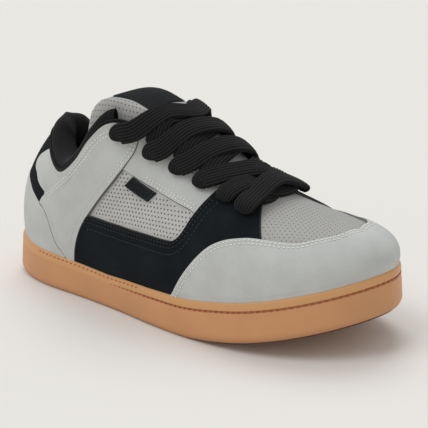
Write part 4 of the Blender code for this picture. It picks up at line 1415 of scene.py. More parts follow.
@dataclass
class Panel:
    """Overlay on the upper with a rounded edge and pressed stitch rows.

    Attributes:
        name: its node.
        rows: table of its two edges.
        rise: height of its face over the skin.
        finish: name of its finish.
        sides: sides of the shoe that it covers; with two it runs round the toe or the heel.
        press: distances from its edge at which stitches pull it in.
        seat: height of the layer below it over the skin.
        across: number of columns between the two edges.
        edge_round: radius of its rounded edge.
        steps: rows added for each stretch between two rows of the table.
    """

    name: str
    rows: tuple
    rise: float
    finish: str
    sides: tuple = (Side.LATERAL,)
    press: tuple = ()
    seat: float = 0.0
    across: int = 40
    edge_round: float = 0.0009
    steps: int = 10

    BORDER_SHARES: ClassVar[tuple] = (0.0, 0.002, 0.006, 0.012, 0.020, 0.032)
    INNER_SHARES: ClassVar[tuple] = (0.05, 0.95)
    PRESS_DEPTH: ClassVar[float] = 0.00030
    PRESS_WIDTH: ClassVar[float] = 0.0007

    def _shares(self, count: int) -> np.ndarray:
        """Shares from 0 to 1, close together at both ends."""
        near = np.array(self.BORDER_SHARES)
        return np.concatenate([near, np.linspace(*self.INNER_SHARES, count), 1 - near[::-1]])

    def table(self) -> np.ndarray:
        """Dense rows of the two edges, in w and t."""
        dense = smooth_path([(index, *row) for index, row in enumerate(self.rows)], self.steps)[:, 1:]
        if len(self.sides) == 1:
            return dense * (self.sides[0].value, 1, self.sides[0].value, 1)
        if self.rows[0][0] < 0.5:
            return np.vstack([(dense * (-1, 1, -1, 1))[:0:-1], dense])
        return np.vstack([dense, dense[-2::-1] * (-1, 1, -1, 1) + (2, 0, 2, 0)])

    def edge(self, first: bool) -> np.ndarray:
        """Route of one of the two edges, rows of w and t."""
        table = self.table()
        return table[:, :2] if first else table[:, 2:]

    def dress(self) -> bpy.types.Object:
        table = self.table()
        index = self._shares(len(table)) * (len(table) - 1)
        table = take(table, index)
        shares = self._shares(self.across)
        w = table[:, 0:1] + (table[:, 2:3] - table[:, 0:1]) * shares
        t = table[:, 1:2] + (table[:, 3:4] - table[:, 1:2]) * shares
        depth = border_depth(LAST.point(w, t).reshape(*w.shape, 3))
        rounding = np.sqrt(np.clip(1 - (1 - np.clip(depth / self.edge_round, 0, 1)) ** 2, 0, 1))
        offset = (self.rise + FIT_GAP) * rounding - FIT_GAP
        for distance in self.press:
            offset -= self.PRESS_DEPTH * np.exp(-((depth - distance) / self.PRESS_WIDTH) ** 2)
        points = LAST.skin(w, t, offset).reshape(*w.shape, 3)
        draft = Draft()
        # The edge number, counted from where the rounded edge comes out of the layer below, places the pale
        # raw edge and the painted shade of the finish
        draft.grid(points, edge=(depth - self._emerges()) / MM)
        piece = draft.build(self.name + "_look", self.finish)
        declare(piece, self.name)
        return piece

    def _emerges(self) -> float:
        """Distance from the border at which the rounded edge comes out of the layer below."""
        share = (self.seat + FIT_GAP) / (self.rise + FIT_GAP)
        return self.edge_round * (1 - math.sqrt(1 - share ** 2))


class Sole:
    """Cupsole with its groove, lip, stitches and tread."""

    STATIONS = 520
    TREAD_COLUMNS = 25
    # Levels of the inside of the wall, down from the lip
    INSIDE = (1.0, 0.80)
    # How deep the thread lies in the groove, as a share of the groove's depth
    THREAD_DEPTH = 0.30

    def __init__(self) -> None:
        """Set the stations round the sole and the wall's side without its groove."""
        self.ring = np.linspace(-1, 1, self.STATIONS, endpoint=False)
        side = smooth_path(SOLE_SIDE, 3)
        self.levels = side[:, 0]
        self.insets = side[:, 1] * SOLE_EDGE_ROUND

    def _plain(self, share: float) -> float:
        """Inset of the wall without its groove at a share of its height."""
        return np.interp(share, self.levels, self.insets)

    def _row(self, share: float, inset: float) -> np.ndarray:
        """Ring of the side wall at a share of its height."""
        edge = LAST.loop_point(self.ring)
        plan = edge + LAST.loop_inward(self.ring) * inset
        x = edge[:, 0]
        return np.column_stack([plan, LAST.sole_bottom(x) + LAST.wall_height(x) * share])

    def _wall(self) -> tuple[np.ndarray, np.ndarray]:
        """Rings of the wall, whose groove fades out towards the heel, and their shares of its height."""
        low, high = GROOVE[0][0], GROOVE[-1][0]
        profile = [row for row in zip(self.levels, self.insets) if not low <= row[0] <= high]
        profile += [(share, self._plain(share) + deep * GROOVE_DEPTH) for share, deep in GROOVE]
        profile = sorted(profile) + [(share, CUP_WALL) for share in self.INSIDE]
        wall = np.stack([self._row(share, inset) for share, inset in profile])
        plain = np.stack([self._row(share, self._plain(share)) for share, inset in profile])
        fade = np.clip((wall[0, :, 0] - GROOVE_FADE[0]) / (GROOVE_FADE[1] - GROOVE_FADE[0]), 0, 1)
        rows = [low <= share <= high for share, inset in profile]
        wall[rows] = plain[rows] + (wall - plain)[rows] * fade[None, :, None]
        return wall, np.array([[share] for share, inset in profile])

    def _tread(self, bottom: np.ndarray) -> np.ndarray:
        """Grid of the tread face between the two halves of the wall's lowest ring."""
        half = len(self.ring) // 2
        mates = -np.arange(half + 1) % len(self.ring)
        across = np.linspace(0, 1, self.TREAD_COLUMNS)[None, :, None]
        left, right = bottom[mates][:, None, :], bottom[:half + 1][:, None, :]
        points = left + (right - left) * across
        points[..., 2] = LAST.sole_bottom(points[..., 0])
        return points

    def _thread(self) -> Marks:
        """Stitches in the groove, and a short seam along the rim on both sides."""
        marks = Marks()
        facing = np.column_stack([-LAST.loop_inward(self.ring), np.zeros(len(self.ring))])
        path = self._row(GROOVE_MIDDLE, self._plain(GROOVE_MIDDLE) + self.THREAD_DEPTH * GROOVE_DEPTH)
        front = path[:, 0] > GROOVE_FADE[0]
        marks.row(path[front], facing[front], GUM_STITCH_PITCH)
        rim = self._row(RIM_SEAM_LEVEL, self._plain(RIM_SEAM_LEVEL))
        start, end = RIM_SEAM_RUN
        for side in Side:
            part = (self.ring * side.value > 0) & (rim[:, 0] > start) & (rim[:, 0] < end)
            marks.row(rim[part], facing[part], GUM_STITCH_PITCH)
        return marks

    def build(self) -> None:
        """Build the wall, the tread and the thread."""
        wall, levels = self._wall()
        draft = Draft()
        draft.grid(wall, wrap=True, level=levels)
        declare(draft.build("outsole_look", "gum_rubber", sharp=180), "outsole")
        draft = Draft()
        draft.grid(self._tread(wall[0]))
        declare(draft.build("tread_look", "gum_tread", weld=WELD))
        Scatter(Form.STITCH).build("sole_thread", self._thread(), GUM_STITCH_SIZE, "gum_thread")


class Upper:
    """Hollow leather shell with its lining."""

    STATIONS = 420
    LEVELS = 64
    LEVELS_BELOW = 4
    # How far the outer face and the lining go down into the cup
    OUTER_START = -0.3
    LINING_START = -0.6
    # Middle of the closed vamp, which is smoothed: run along x, share of half the width, half width, lowest z
    VAMP_RUN = (0.072, 0.135)
    VAMP_MIDDLE = 0.1
    VAMP_WIDTH = 0.016
    VAMP_FLOOR = 0.066
    SMOOTHINGS = 12
    # Cut edge of the throat: last share round the sole, stations, rows over the wall
    THROAT_END = 0.60
    THROAT_STATIONS = 120
    THROAT_ROWS = 4

    def _face(self, offset: float, start: float, name: str, finish: str) -> bpy.types.Object:
        """Build one face of the wall, welded along the closed vamp.

        Args:
            offset: how far outside the skin it lies.
            start: its lowest level.
            name: the piece's name.
            finish: name of its finish.

        Returns:
            The piece.
        """
        ring = np.linspace(-1, 1, self.STATIONS, endpoint=False)
        below = np.linspace(start, 0, self.LEVELS_BELOW)
        w, t = np.meshgrid(ring, np.concatenate([below, np.linspace(0, 1, self.LEVELS)[1:]]))
        points = LAST.skin(w, t, offset).reshape(*w.shape, 3)
        closed = np.abs(ring) <= THROAT_FRONT
        mate = -np.arange(len(ring)) % len(ring)
        middle = 0.5 * (points[-1] + points[-1][mate])
        points[-1][closed] = middle[closed]
        draft = Draft()
        draft.grid(points, wrap=True, level=t, around=np.abs(w))
        piece = draft.build(name, finish, weld=WELD)
        work = bmesh.new()
        work.from_mesh(piece.data)
        centre = [vertex for vertex in work.verts if self._on_vamp(vertex.co)]
        axes = {"use_axis_" + name: True for name in "xyz"}
        for _ in range(self.SMOOTHINGS):
            bmesh.ops.smooth_vert(work, verts=centre, factor=0.5, **axes)
        work.to_mesh(piece.data)
        work.free()
        return piece

    def _on_vamp(self, place: Vector) -> bool:
        """Whether a point lies near the middle of the closed vamp."""
        start, end = self.VAMP_RUN
        aside = abs(place.y - self.VAMP_MIDDLE * HALF_BALL)
        return start < place.x < end and aside < self.VAMP_WIDTH and place.z > self.VAMP_FLOOR

    def build(self) -> bpy.types.Object:
        """Build the outer face, the lining and the cut edge of the throat; hand back the outer face."""
        outer = self._face(0.0, self.OUTER_START, "upper_look", "perforated_leather")
        declare(outer, "upper")
        lining = self._face(-UPPER_WALL, self.LINING_START, "lining_look", "black_lining")
        declare(lining)
        edge = Draft()
        for side in Side:
            w = side.value * np.linspace(THROAT_FRONT + 0.004, self.THROAT_END, self.THROAT_STATIONS)
            shares = np.linspace(0, 1, self.THROAT_ROWS)
            edge.grid(np.stack([LAST.skin(w, 1.0, -UPPER_WALL * share) for share in shares]))
        declare(edge.build("throat_edge", "vamp_leather"))
        return outer


def sweep(
    draft: Draft,
    path: np.ndarray,
    facing: np.ndarray,
    section: np.ndarray,
    scale: np.ndarray,
    **values: np.ndarray,
) -> None:
    """Sweep a closed section along a path.

    Args:
        draft: where the faces go.
        path: the middles of the section.
        facing: which way is up at each of them.
        section: rows of two numbers, across and up, in metres.
        scale: a share across and a share up for each middle.
        values: named numbers for each point.
    """
    run = unit(np.gradient(path, axis=0))
    side = unit(np.cross(run, facing))
    up = np.cross(side, run)
    across = section[None, :, 0] * scale[:, 0:1]
    lift = section[None, :, 1] * scale[:, 1:2]
    points = path[:, None, :] + across[..., None] * side[:, None, :] + lift[..., None] * up[:, None, :]
    draft.grid(points, wrap=True, **values)


class Tongue:
    """Padded tongue with its woven label."""

    STATIONS = 14
    # Share across at which the padding ends, and the share over which it swells
    PAD_EDGE = 0.95
    PAD_SWELL = 0.45
    # Thickness of the side edges, as a share of the middle's
    EDGE_THICKNESS = 0.30
    # How deep the label's base lies in the tongue, in shares of its rise, and the width of its rounded border
    LABEL_SINK = 0.3
    LABEL_BORDER = 0.0007

    def row(self, share: float) -> tuple:
        """Work out what holds one row of the tongue.

        Args:
            share: share round the sole.

        Returns:
            Its side edges, the edges of the throat over it, its crown and its thickness.
        """
        level, thickness, crown = [column[0] for column in read_table(TONGUE, share)]
        under = -(UPPER_WALL + TONGUE_GAP)
        sides = [LAST.skin(side.value * share, level, under)[0] for side in Side]
        throat = [LAST.skin(side.value * share, THROAT_EDGE, under)[0] for side in Side]
        middle = 0.5 * (throat[0] + throat[1])
        middle[2] += crown * TONGUE_CROWN
        return sides, throat, middle, thickness * TONGUE_THICKNESS

    def face(self, share: float, steps: int) -> np.ndarray:
        """Draw the line over the top face, leaning back and narrower near the free end.

        Args:
            share: share round the sole of the line's two ends.
            steps: points added for each stretch between two of its five controls.

        Returns:
            Points from lateral to medial.
        """
        sides, throat, middle, thickness = self.row(share)
        line = smooth_path([sides[0], throat[0], middle, throat[1], sides[1]], steps)
        near_end = smoothstep((share - TONGUE_RAKE_START) / (TONGUE[-1][0] - TONGUE_RAKE_START))
        line[:, 0] -= near_end * TONGUE_RAKE * (middle[2] - line[:, 2])
        line[:, 1] += near_end * TONGUE_TAPER * (middle[1] - line[:, 1])
        across = np.abs(np.linspace(-1, 1, len(line)))
        flat = smoothstep((share - TONGUE_FLAT_FROM) / (TONGUE_FLAT_TO - TONGUE_FLAT_FROM))
        inside = smoothstep((self.PAD_EDGE - across) / self.PAD_SWELL)
        line[:, 2] += TONGUE_FLATNESS * flat * inside * (middle[2] - line[:, 2])
        line[:, 2] += TONGUE_PUFF * np.interp(share, *np.transpose(TONGUE_PUFFS)) * inside
        return line

    def top(self, share: float, across: float) -> np.ndarray:
        """Point of the top face; across is -1 to 1, with the throat's edges at half."""
        line = self.face(share, 8)
        places = np.linspace(-1, 1, len(line))
        return np.array([np.interp(across, places, line[:, k]) for k in range(3)])

    def lace_stop(self, share: float, across: float, gap: float, step: float = 0.03) -> tuple:
        """Find where a lace passes over the tongue.

        Args:
            share: share round the sole.
            across: place across the tongue, -1 to 1.
            gap: distance between tongue and lace.
            step: reach of the neighbours that give the slope.

        Returns:
            Middle of the lace, and the tongue's normal there.
        """
        along = self.top(share - step, across) - self.top(share + step, across)
        over = self.top(share, across + step) - self.top(share, across - step)
        normal = unit(np.cross(along, over))
        return self.top(share, across) + normal * (gap + 0.5 * LACE_THICKNESS), normal

    def _section(self, share: float) -> np.ndarray:
        """Closed section: top face from lateral to medial, then the underside back."""
        sides, throat, middle, thickness = self.row(share)
        top = self.face(share, 5)
        across = np.linspace(-1, 1, len(top))
        depth = thickness * (self.EDGE_THICKNESS + (1 - self.EDGE_THICKNESS) * (1 - across ** 4))
        under = top - np.column_stack([0 * depth, 0 * depth, depth])
        centre = 0.5 * (sides[0][1] + sides[1][1])
        under[:, 1] = centre + (under[:, 1] - centre) * (1 - 0.5 * thickness / np.ptp(top[:, 1]))
        return np.vstack([top, under[::-1]])

    def grid(self) -> np.ndarray:
        """Rows of closed sections from the vamp to the free end."""
        rows = [self._section(share) for share in np.linspace(TONGUE[0][0], TONGUE[-1][0], self.STATIONS)]
        last = rows[-1]
        centre = last.mean(axis=0)
        half = len(last) // 2
        middle = 0.5 * (last[:half] + last[:half - 1:-1])
        for run, width, thickness, drop in TONGUE_END:
            lift = (last[:half] - middle) * thickness
            row = np.vstack([middle + lift, (middle - lift)[::-1]])
            row[:, 1] = centre[1] + (row[:, 1] - centre[1]) * width
            row[:, 0] -= run * TONGUE_END_RUN
            row[:, 2] -= drop * TONGUE_END_DROP
            rows.append(row)
        stack = np.stack(rows)
        return np.stack([smooth_path(stack[:, k], 6) for k in range(stack.shape[1])], axis=1)

    def _label(self, top: np.ndarray) -> bpy.types.Object:
        """Lay the label over part of the tongue, with a rounded border.

        Args:
            top: grid of the tongue's top face.

        Returns:
            The label.
        """
        patch = top[LABEL_ROWS, LABEL_COLUMNS]
        normals = grid_normals(top)[LABEL_ROWS, LABEL_COLUMNS]
        if normals[..., 2].mean() < 0:
            normals = -normals
        fine = self._refine(patch + normals * LABEL_RISE)
        base = self._refine(patch - normals * self.LABEL_SINK * LABEL_RISE)
        depth = border_depth(fine)
        inside = np.clip(depth / self.LABEL_BORDER, 0, 1)[..., None]
        sheet = Draft()
        sheet.grid(base + (fine - base) * np.sqrt(1 - (1 - inside) ** 2), edge=depth / MM)
        return sheet.build("tongue_label_look", "woven_label")

    @staticmethod
    def _refine(patch: np.ndarray) -> np.ndarray:
        """Grid with more rows and columns."""
        rows = np.stack([smooth_path(patch[:, k], 2) for k in range(patch.shape[1])], axis=1)
        return np.stack([smooth_path(rows[k], 4) for k in range(rows.shape[0])])

    def build(self) -> tuple[bpy.types.Object, bpy.types.Object]:
        """Build the pad and the label wrapped over its free end."""
        points = self.grid()
        half = points.shape[1] // 2
        draft = Draft()
        numbers = draft.grid(points, wrap=True, lining=np.arange(2 * half)[None, :] >= half + 1)
        for row in (numbers[0], numbers[-1]):
            for k in range(half - 1):
                draft.faces.append([int(row[k]), int(row[k + 1]), int(row[-k - 2]), int(row[-k - 1])])
        pad = draft.build("tongue_look", "tongue_leather", sharp=180)
        label = self._label(points[:, :half])
        declare(pad, "tongue")
        declare(label, "tongue_label")
        return pad, label


class Collar:
    """Padded roll round the ankle, with the piping along the quarter's top edge."""

    STATIONS = 90
    PIPING_START = 0.575
    PIPING_STATIONS = 175
    PIPING_SIDES = 10
    # Level at which the piping takes its normal, just under the top edge
    PIPING_LEVEL = 0.99

    def build(self) -> None:
        """Build the roll and the piping."""
        share = np.linspace(COLLAR[0][0], 1, self.STATIONS)
        w = np.concatenate([-share, share[-2::-1]])
        from_heel = 1 - np.abs(w)
        turned = from_heel ** 2 * (2 * COLLAR_HEEL_ROUND - from_heel) / COLLAR_HEEL_ROUND ** 2
        around = 1 - np.where(from_heel < COLLAR_HEEL_ROUND, turned, from_heel)
        thick, lateral, medial = read_table(COLLAR, around)
        rise = np.where(w < 0, lateral, medial) * COLLAR_RISE
        thick = thick * COLLAR_ROLL
        top = LAST.skin(w, 1.0, 0.0)
        inward = LAST.loop_inward(w)
        columns = [LAST.skin(w, level, -UPPER_WALL - FIT_GAP) for level in COLLAR_LEVELS]
        for offset in (-UPPER_WALL, 0.0):
            over = LAST.skin(w, 1.0, offset)
            over[:, 2] += EDGE_GAP
            columns.append(over)
        for depth, height in ROLL_SECTION:
            point = top.copy()
            point[:, :2] += inward * (depth * thick)[:, None]
            point[:, 2] += np.maximum(height * rise, height * COLLAR_RISE) + EDGE_GAP
            columns.append(point)
        control = np.stack(columns, axis=1)
        draft = Draft()
        draft.grid(np.stack([smooth_path(ring, 5, closed=True) for ring in control]), wrap=True)
        roll = draft.build("collar_look", "black_lining", sharp=180)
        declare(roll, "collar_pad")
        for side in Side:
            self._pipe(side)

    def _pipe(self, side: Side) -> None:
        """Run the piping along one side, from the top eyelet to the heel."""
        w = side.value * np.linspace(self.PIPING_START, 1.0, self.PIPING_STATIONS)
        path = LAST.skin(w, 1.0, 0.5 * BAND_RISE)
        path[:, 2] += PIPING_RISE
        turns = np.linspace(0, 2 * math.pi, self.PIPING_SIDES, endpoint=False)
        section = PIPING_RADIUS * np.column_stack([np.cos(turns), np.sin(turns)])
        facing = LAST.normal(w, np.full_like(w, self.PIPING_LEVEL))
        draft = Draft()
        sweep(draft, path, facing, section, np.ones((len(path), 2)))
        declare(draft.build("piping_" + side.word, "black_lining"))


class Laces:
    """Fat flat laces: a bar at the toe and five pairs of crossings."""

    # Section: points, ribs, relief of a rib, and the powers that square it across and up
    POINTS = 72
    RIBS = 7
    RIB_RELIEF = 0.16
    SQUARE = (0.75, 0.62)
    # Distance between a lace and what it lies on, and between two sections along it
    GAP = 0.0010
    PITCH = 0.0007
    # Rounding of a lace's first and last end, in lace widths, and the smallest scale at its tip
    ROUNDING = (0.42, 0.30)
    TIP = 0.02
    # Stops of a crossing, as shares of the way: at the throat's edge, then on both sides of the crown
    EDGE_STOP = 0.30
    NEAR_STOP = 0.75
    FAR_STOP = 0.10
    # How far aside the two stops beside the crown lie, with the throat's edges at half
    NEAR_ASIDE = 0.36
    FAR_ASIDE = 0.44
    # Where on the straight line between their neighbours those two stops lie
    NEAR_WAY = 0.4
    FAR_WAY = 0.6
    # Lift of a crossing at the throat's edge and at its hidden far end, in lace thicknesses
    EDGE_LIFT = 0.3
    FAR_LIFT = -0.2

    def __init__(self, tongue: Tongue) -> None:
        """Work the ribbed section out."""
        self.tongue = tongue
        self.draft = Draft()
        turns = np.linspace(0, 2 * math.pi, self.POINTS, endpoint=False)
        waves = zip((np.cos(turns), np.sin(turns)), self.SQUARE)
        across, up = (np.sign(wave) * np.abs(wave) ** power for wave, power in waves)
        self.rib = across * self.RIBS / 2
        bead = 1 + self.RIB_RELIEF * np.cos(2 * math.pi * self.rib) * (np.abs(across) < 0.97)
        self.section = np.column_stack([0.5 * LACE_WIDTH * across, 0.5 * LACE_THICKNESS * up * bead])

    def _end(self, share: float, level: float, side: Side, lift_share: float) -> tuple:
        """Find a place of the lace over the leather.

        Args:
            share: share round the sole.
            level: share from rim to top edge.
            side: side of the shoe.
            lift_share: how far the lace is lifted, in lace thicknesses.

        Returns:
            Middle of the lace, and the skin's normal there.
        """
        lift = PANEL_RISE + self.GAP + (0.5 + lift_share) * LACE_THICKNESS
        place = LAST.skin(side.value * share, level, lift)[0]
        return place, LAST.normal(side.value * share, level)[0]

    def _foot(self, share: float, level: float, side: Side) -> tuple:
        """Where the end of a lace meets the leather, just outside its eyelet."""
        w = side.value * share
        below, eyelet = LAST.point([w, w], [level - 0.02, level])
        down = unit(below - eyelet)
        place = LAST.skin(w, level, PANEL_RISE + 0.35 * LACE_THICKNESS)[0]
        return place + down * LACE_FOOT, unit(LAST.normal(w, level)[0] + 0.5 * down)

    def _taut(self, share: float, across: float, over: float, first: tuple, last: tuple, way: float) -> tuple:
        """Stop on the tongue, or higher where a lace pulled straight clears the tongue.

        Args:
            share: share round the sole.
            across: place across the tongue, -1 to 1.
            over: how far this lace lies over another, in lace thicknesses.
            first: the stop before it.
            last: the stop after it.
            way: share of the straight line from first to last.

        Returns:
            Middle of the lace, and the tongue's normal there.
        """
        place, normal = self.tongue.lace_stop(share, across, self.GAP + 0.6 * over * LACE_THICKNESS)
        straight = first[0] + (last[0] - first[0]) * way
        return place + normal * max(0.0, float((straight - place) @ normal)), normal

    @staticmethod
    def _round(distance: np.ndarray, width: float) -> np.ndarray:
        """Share of the full width at a distance from a rounded end."""
        tip = np.clip(distance / (width * LACE_WIDTH), 0, 1)
        return np.sqrt(np.clip(1 - (1 - tip) ** 2, 0.0, 1))

    def _strap(self, stops: list, both_ends: bool) -> None:
        """Sweep one lace through its stops.

        Args:
            stops: middles with their normals.
            both_ends: whether the last end shows too and is rounded like the first.
        """
        path = smooth_path([place for place, normal in stops], 14)
        index = np.linspace(0, len(stops) - 1, len(path))
        facing = unit(take(np.array([normal for place, normal in stops]), index))
        index = resample(path, self.PITCH)
        path, facing = take(path, index), take(facing, index)
        run = run_of(path)
        left = run[-1] - run
        if both_ends:
            wide = self._round(np.minimum(run, left), self.ROUNDING[0])
        else:
            wide = self._round(run, self.ROUNDING[0]) * self._round(left, self.ROUNDING[1])
        wide = np.maximum(wide, self.TIP)
        scale = np.column_stack([wide, wide ** 0.7])
        sweep(self.draft, path, facing, self.section, scale, rib=self.rib[None, :], along=run[:, None] / MM)

    def _bar(self) -> None:
        """Lay the bar at the toe end of the throat."""
        share, level, lift, middle = EYELETS[0]
        ends = []
        for side in Side:
            levels = (level, 0.5 * (level + THROAT_EDGE))
            ends.append([self._foot(share, level, side)] + [self._end(share, t, side, lift) for t in levels])
        edges = [self._end(share, THROAT_EDGE, side, lift) for side in Side]
        place = 0.5 * (edges[0][0] + edges[1][0]) + np.array((0.0, 0.0, LACE_BAR_RISE))
        self._strap(ends[0] + [(place, unit(edges[0][1] + edges[1][1]))] + ends[1][::-1], True)

    def _crossing(self, before: tuple, eyelet: tuple, side: Side) -> None:
        """Lay one crossing over the tongue.

        Args:
            before: row of the eyelet across, where it ends under the next lace.
            eyelet: row of the eyelet that it comes from.
            side: side of that eyelet.
        """
        share, level, lift, middle = eyelet
        span = share - before[0]
        reach = (1 - middle) * span
        over = LACE_OVER if side is Side.LATERAL else 0.0
        crown = self.tongue.lace_stop(before[0] + middle * span, 0.0, self.GAP + over * LACE_THICKNESS)
        foot = self._foot(share, level, side)
        first = self._end(share, level, side, lift)
        edge = self._end(share - self.EDGE_STOP * reach, THROAT_EDGE, side, lift + self.EDGE_LIFT * over)
        last = self._end(before[0], 0.5 * (before[1] + THROAT_EDGE), side.other, self.FAR_LIFT)
        near_aside, far_aside = side.value * self.NEAR_ASIDE, -side.value * self.FAR_ASIDE
        near = self._taut(share - self.NEAR_STOP * reach, near_aside, over, edge, crown, self.NEAR_WAY)
        far = self._taut(before[0] - self.FAR_STOP * span, far_aside, over, crown, last, self.FAR_WAY)
        self._strap([foot, first, edge, near, crown, far, last], False)

    def build(self) -> bpy.types.Object:
        """Build all the laces as one piece."""
        self._bar()
        for before, eyelet in zip(EYELETS, EYELETS[1:]):
            for side in Side:
                self._crossing(before, eyelet, side)
        piece = self.draft.build("laces_look", "black_lace", sharp=180)
        declare(piece, "laces")
        return piece


@dataclass(frozen=True)
class Field:
    """Field of holes.

    Attributes:
        middle: its middle.
        along: direction of its rows.
        aside: direction from row to row.
        look: direction of sight.
        reach: half of its length and half of its height.
    """

    middle: Vector
    along: Vector
    aside: Vector
    look: Vector
    reach: tuple


class Drill:
    """Finds the places of holes by looking at the shoe along a direction."""

    # Leather left round a hole, distance from which the drill looks, and how squarely it has to meet it
    BORDER = 0.0013
    AWAY = 0.25
    SQUARE = 0.3

    def __init__(self, target: bpy.types.Object, covers: list) -> None:
        """Join the target and what may cover it in one search tree."""
        points, faces = [], []
        for piece in [target, *covers]:
            first = len(points)
            points.extend(v.co[:] for v in piece.data.vertices)
            faces.extend([first + k for k in face.vertices] for face in piece.data.polygons)
        self.tree = BVHTree.FromPolygons(points, faces)
        self.own = len(target.data.polygons)

    def _see(self, place: Vector, look: Vector) -> tuple | None:
        """Look at the shoe through one point.

        Args:
            place: the point.
            look: direction of sight.

        Returns:
            Place and normal of the target where it is the first thing seen, or else nothing.
        """
        spot, normal, number, distance = self.tree.ray_cast(place - look * self.AWAY, look)
        if spot is None or number >= self.own:
            return None
        return spot, normal if normal.dot(look) < 0 else -normal

    def holes(self, marks: Marks, where: Field) -> None:
        """Add a staggered pattern of holes where nothing covers the target.

        Args:
            marks: where the holes go.
            where: the field that they fill.
        """
        step = HOLE_PITCH * math.sqrt(0.75)
        columns, rows = round(where.reach[0] / HOLE_PITCH), round(where.reach[1] / step)
        sides = (where.along, -where.along, where.aside, -where.aside)
        for row in range(-rows, rows + 1):
            for column in range(-columns, columns + 1):
                run = where.along * HOLE_PITCH * (column + 0.5 * (row % 2))
                place = where.middle + run + where.aside * (row * step)
                seen = self._see(place, where.look)
                if not seen or seen[1].dot(where.look) >= -self.SQUARE:
                    continue
                if all(self._see(place + side * self.BORDER, where.look) for side in sides):
                    marks.spot(seen[0] + seen[1] * HOLE_LIFT, seen[1], where.along)


class Shoe:
    """The whole dressed shoe."""

    def __init__(self, frame: dict) -> None:
        """Set the overlays up."""
        both = tuple(Side)
        self.frame = frame
        self.cap = Panel("toe_cap", TOE_CAP, CAP_RISE, "grey_suede", both, STITCH_ROWS, across=60)
        self.counter = Panel("heel_counter", HEEL_COUNTER, COUNTER_RISE, "grey_suede", both)
        self.patch = Panel("heel_patch", HEEL_PATCH, PATCH_RISE, "black_textile", both)
        self.panels = {side: self._side_panels(side) for side in Side}
        self.tag = Panel("side_tag", SIDE_TAG, TAG_RISE, "woven_label", edge_round=0.0005)

    @staticmethod
    def _side_panels(side: Side) -> dict[str, Panel]:
        """Overlays of one side, sewn down along their edges."""
        kinds = {
            "eyestay": (EYESTAY, EYESTAY_RISE, "grey_suede", {}),
            "side_panel": (SIDE_PANEL, PANEL_RISE, "black_suede", {}),
            "quarter_band": (QUARTER_BAND, BAND_RISE, "grey_suede", {"seat": COUNTER_RISE, "across": 90}),
        }
        return {
            kind: Panel(f"{kind}_{side.word}", rows, rise, finish, (side,), STITCH_ROWS, **more)
            for kind, (rows, rise, finish, more) in kinds.items()
        }

    def build(self) -> None:
        """Build every piece of the shoe."""
        Sole().build()
        upper = Upper().build()
        cap = self.cap.dress()
        self.counter.dress()
        self.patch.dress()
        tag = self.tag.dress()
        layers = [panel.dress() for panels in self.panels.values() for panel in panels.values()]
        tongue = Tongue()
        pad, label = tongue.build()
        Collar().build()
        laces = Laces(tongue).build()
        insole = self.frame["nodes"]["insole"]
        insole.data.materials.clear()
        insole.data.materials.append(material("footbed"))
        self._stitch()
        self._drill(upper, pad, [cap, laces, tag, label, *layers])

    def _stitch(self) -> None:
        """Sew the overlays, and darken the seam of the counter."""
        pale, black, shadow = Marks(), Marks(), Marks()
        for distance in STITCH_ROWS:
            pale.seam(LAST.beside(self.cap.edge(False)[CAP_SEAM], -distance), CAP_RISE + STITCH_LIFT)
        ear = smooth_path(EAR_SEAM, 12)
        for side, panels in self.panels.items():
            sign = side.value
            band = panels["quarter_band"].edge(True)[BAND_SEAM]
            eyestay = panels["eyestay"].edge(True)[EYESTAY_SEAM]
            for distance in STITCH_ROWS:
                pale.seam(LAST.beside(band, sign * distance), BAND_RISE + STITCH_LIFT)
                pale.seam(LAST.beside(ear * (sign, 1), -sign * distance), BAND_RISE + STITCH_LIFT)
                pale.seam(LAST.beside(eyestay, sign * distance), EYESTAY_RISE + STITCH_LIFT)
            top = panels["side_panel"].edge(False)[PANEL_SEAM]
            for distance in PANEL_ROWS:
                black.seam(LAST.beside(top, -sign * distance), PANEL_RISE + STITCH_LIFT)
            rear = panels["quarter_band"].edge(False)[COUNTER_SEAM]
            shadow.seam(LAST.beside(rear, -sign * SHADOW_LIFT), COUNTER_RISE + SHADOW_LIFT)
        scatter = Scatter(Form.STITCH)
        for name, marks, size, finish in (
            ("pale_stitches", pale, STITCH_SIZE, "pale_thread"),
            ("black_stitches", black, STITCH_SIZE, "black_thread"),
            ("seam_shadows", shadow, SEAM_SHADOW_SIZE, "hole_shadow"),
        ):
            scatter.build(name, marks, size, finish)

    @staticmethod
    def _drill(upper: bpy.types.Object, pad: bpy.types.Object, covers: list) -> None:
        """Perforate the leather where it shows: side windows, vamp and tongue.

        Args:
            upper: outer face of the upper.
            pad: the tongue.
            covers: pieces that may lie over them.
        """
        windows, vamp, tongue = Marks(), Marks(), Marks()
        leather = Drill(upper, covers + [pad])
        ahead, medial, up = (Vector(axis) for axis in np.eye(3))
        for side in Side:
            middle = Vector(LAST.skin(side.value * WINDOW_MIDDLE[0], WINDOW_MIDDLE[1])[0])
            leather.holes(windows, Field(middle, Vector(WINDOW_ROWS), up, -side.value * medial, WINDOW_REACH))
        middle = Vector(LAST.skin(*VAMP_MIDDLE)[0])
        leather.holes(vamp, Field(middle, medial, ahead, -up, VAMP_REACH))
        padding = Drill(pad, covers + [upper])
        run, drop = TONGUE_SLOPE
        for side in Side:
            aside = Vector((0, side.value * run, -drop))
            look = Vector((0, -side.value * drop, -run))
            middle = Vector(TONGUE_MIDDLE) * Vector((1, side.value, 1))
            padding.holes(tongue, Field(middle, ahead, aside, look, TONGUE_REACH))
        scatter = Scatter(Form.DISC)
        for name, marks, width in (
            ("window_holes", windows, WINDOW_HOLE),
            ("vamp_holes", vamp, VAMP_HOLE),
            ("tongue_holes", tongue, TONGUE_HOLE),
        ):
            scatter.build(name, marks, (width, width, width), "hole_shadow")


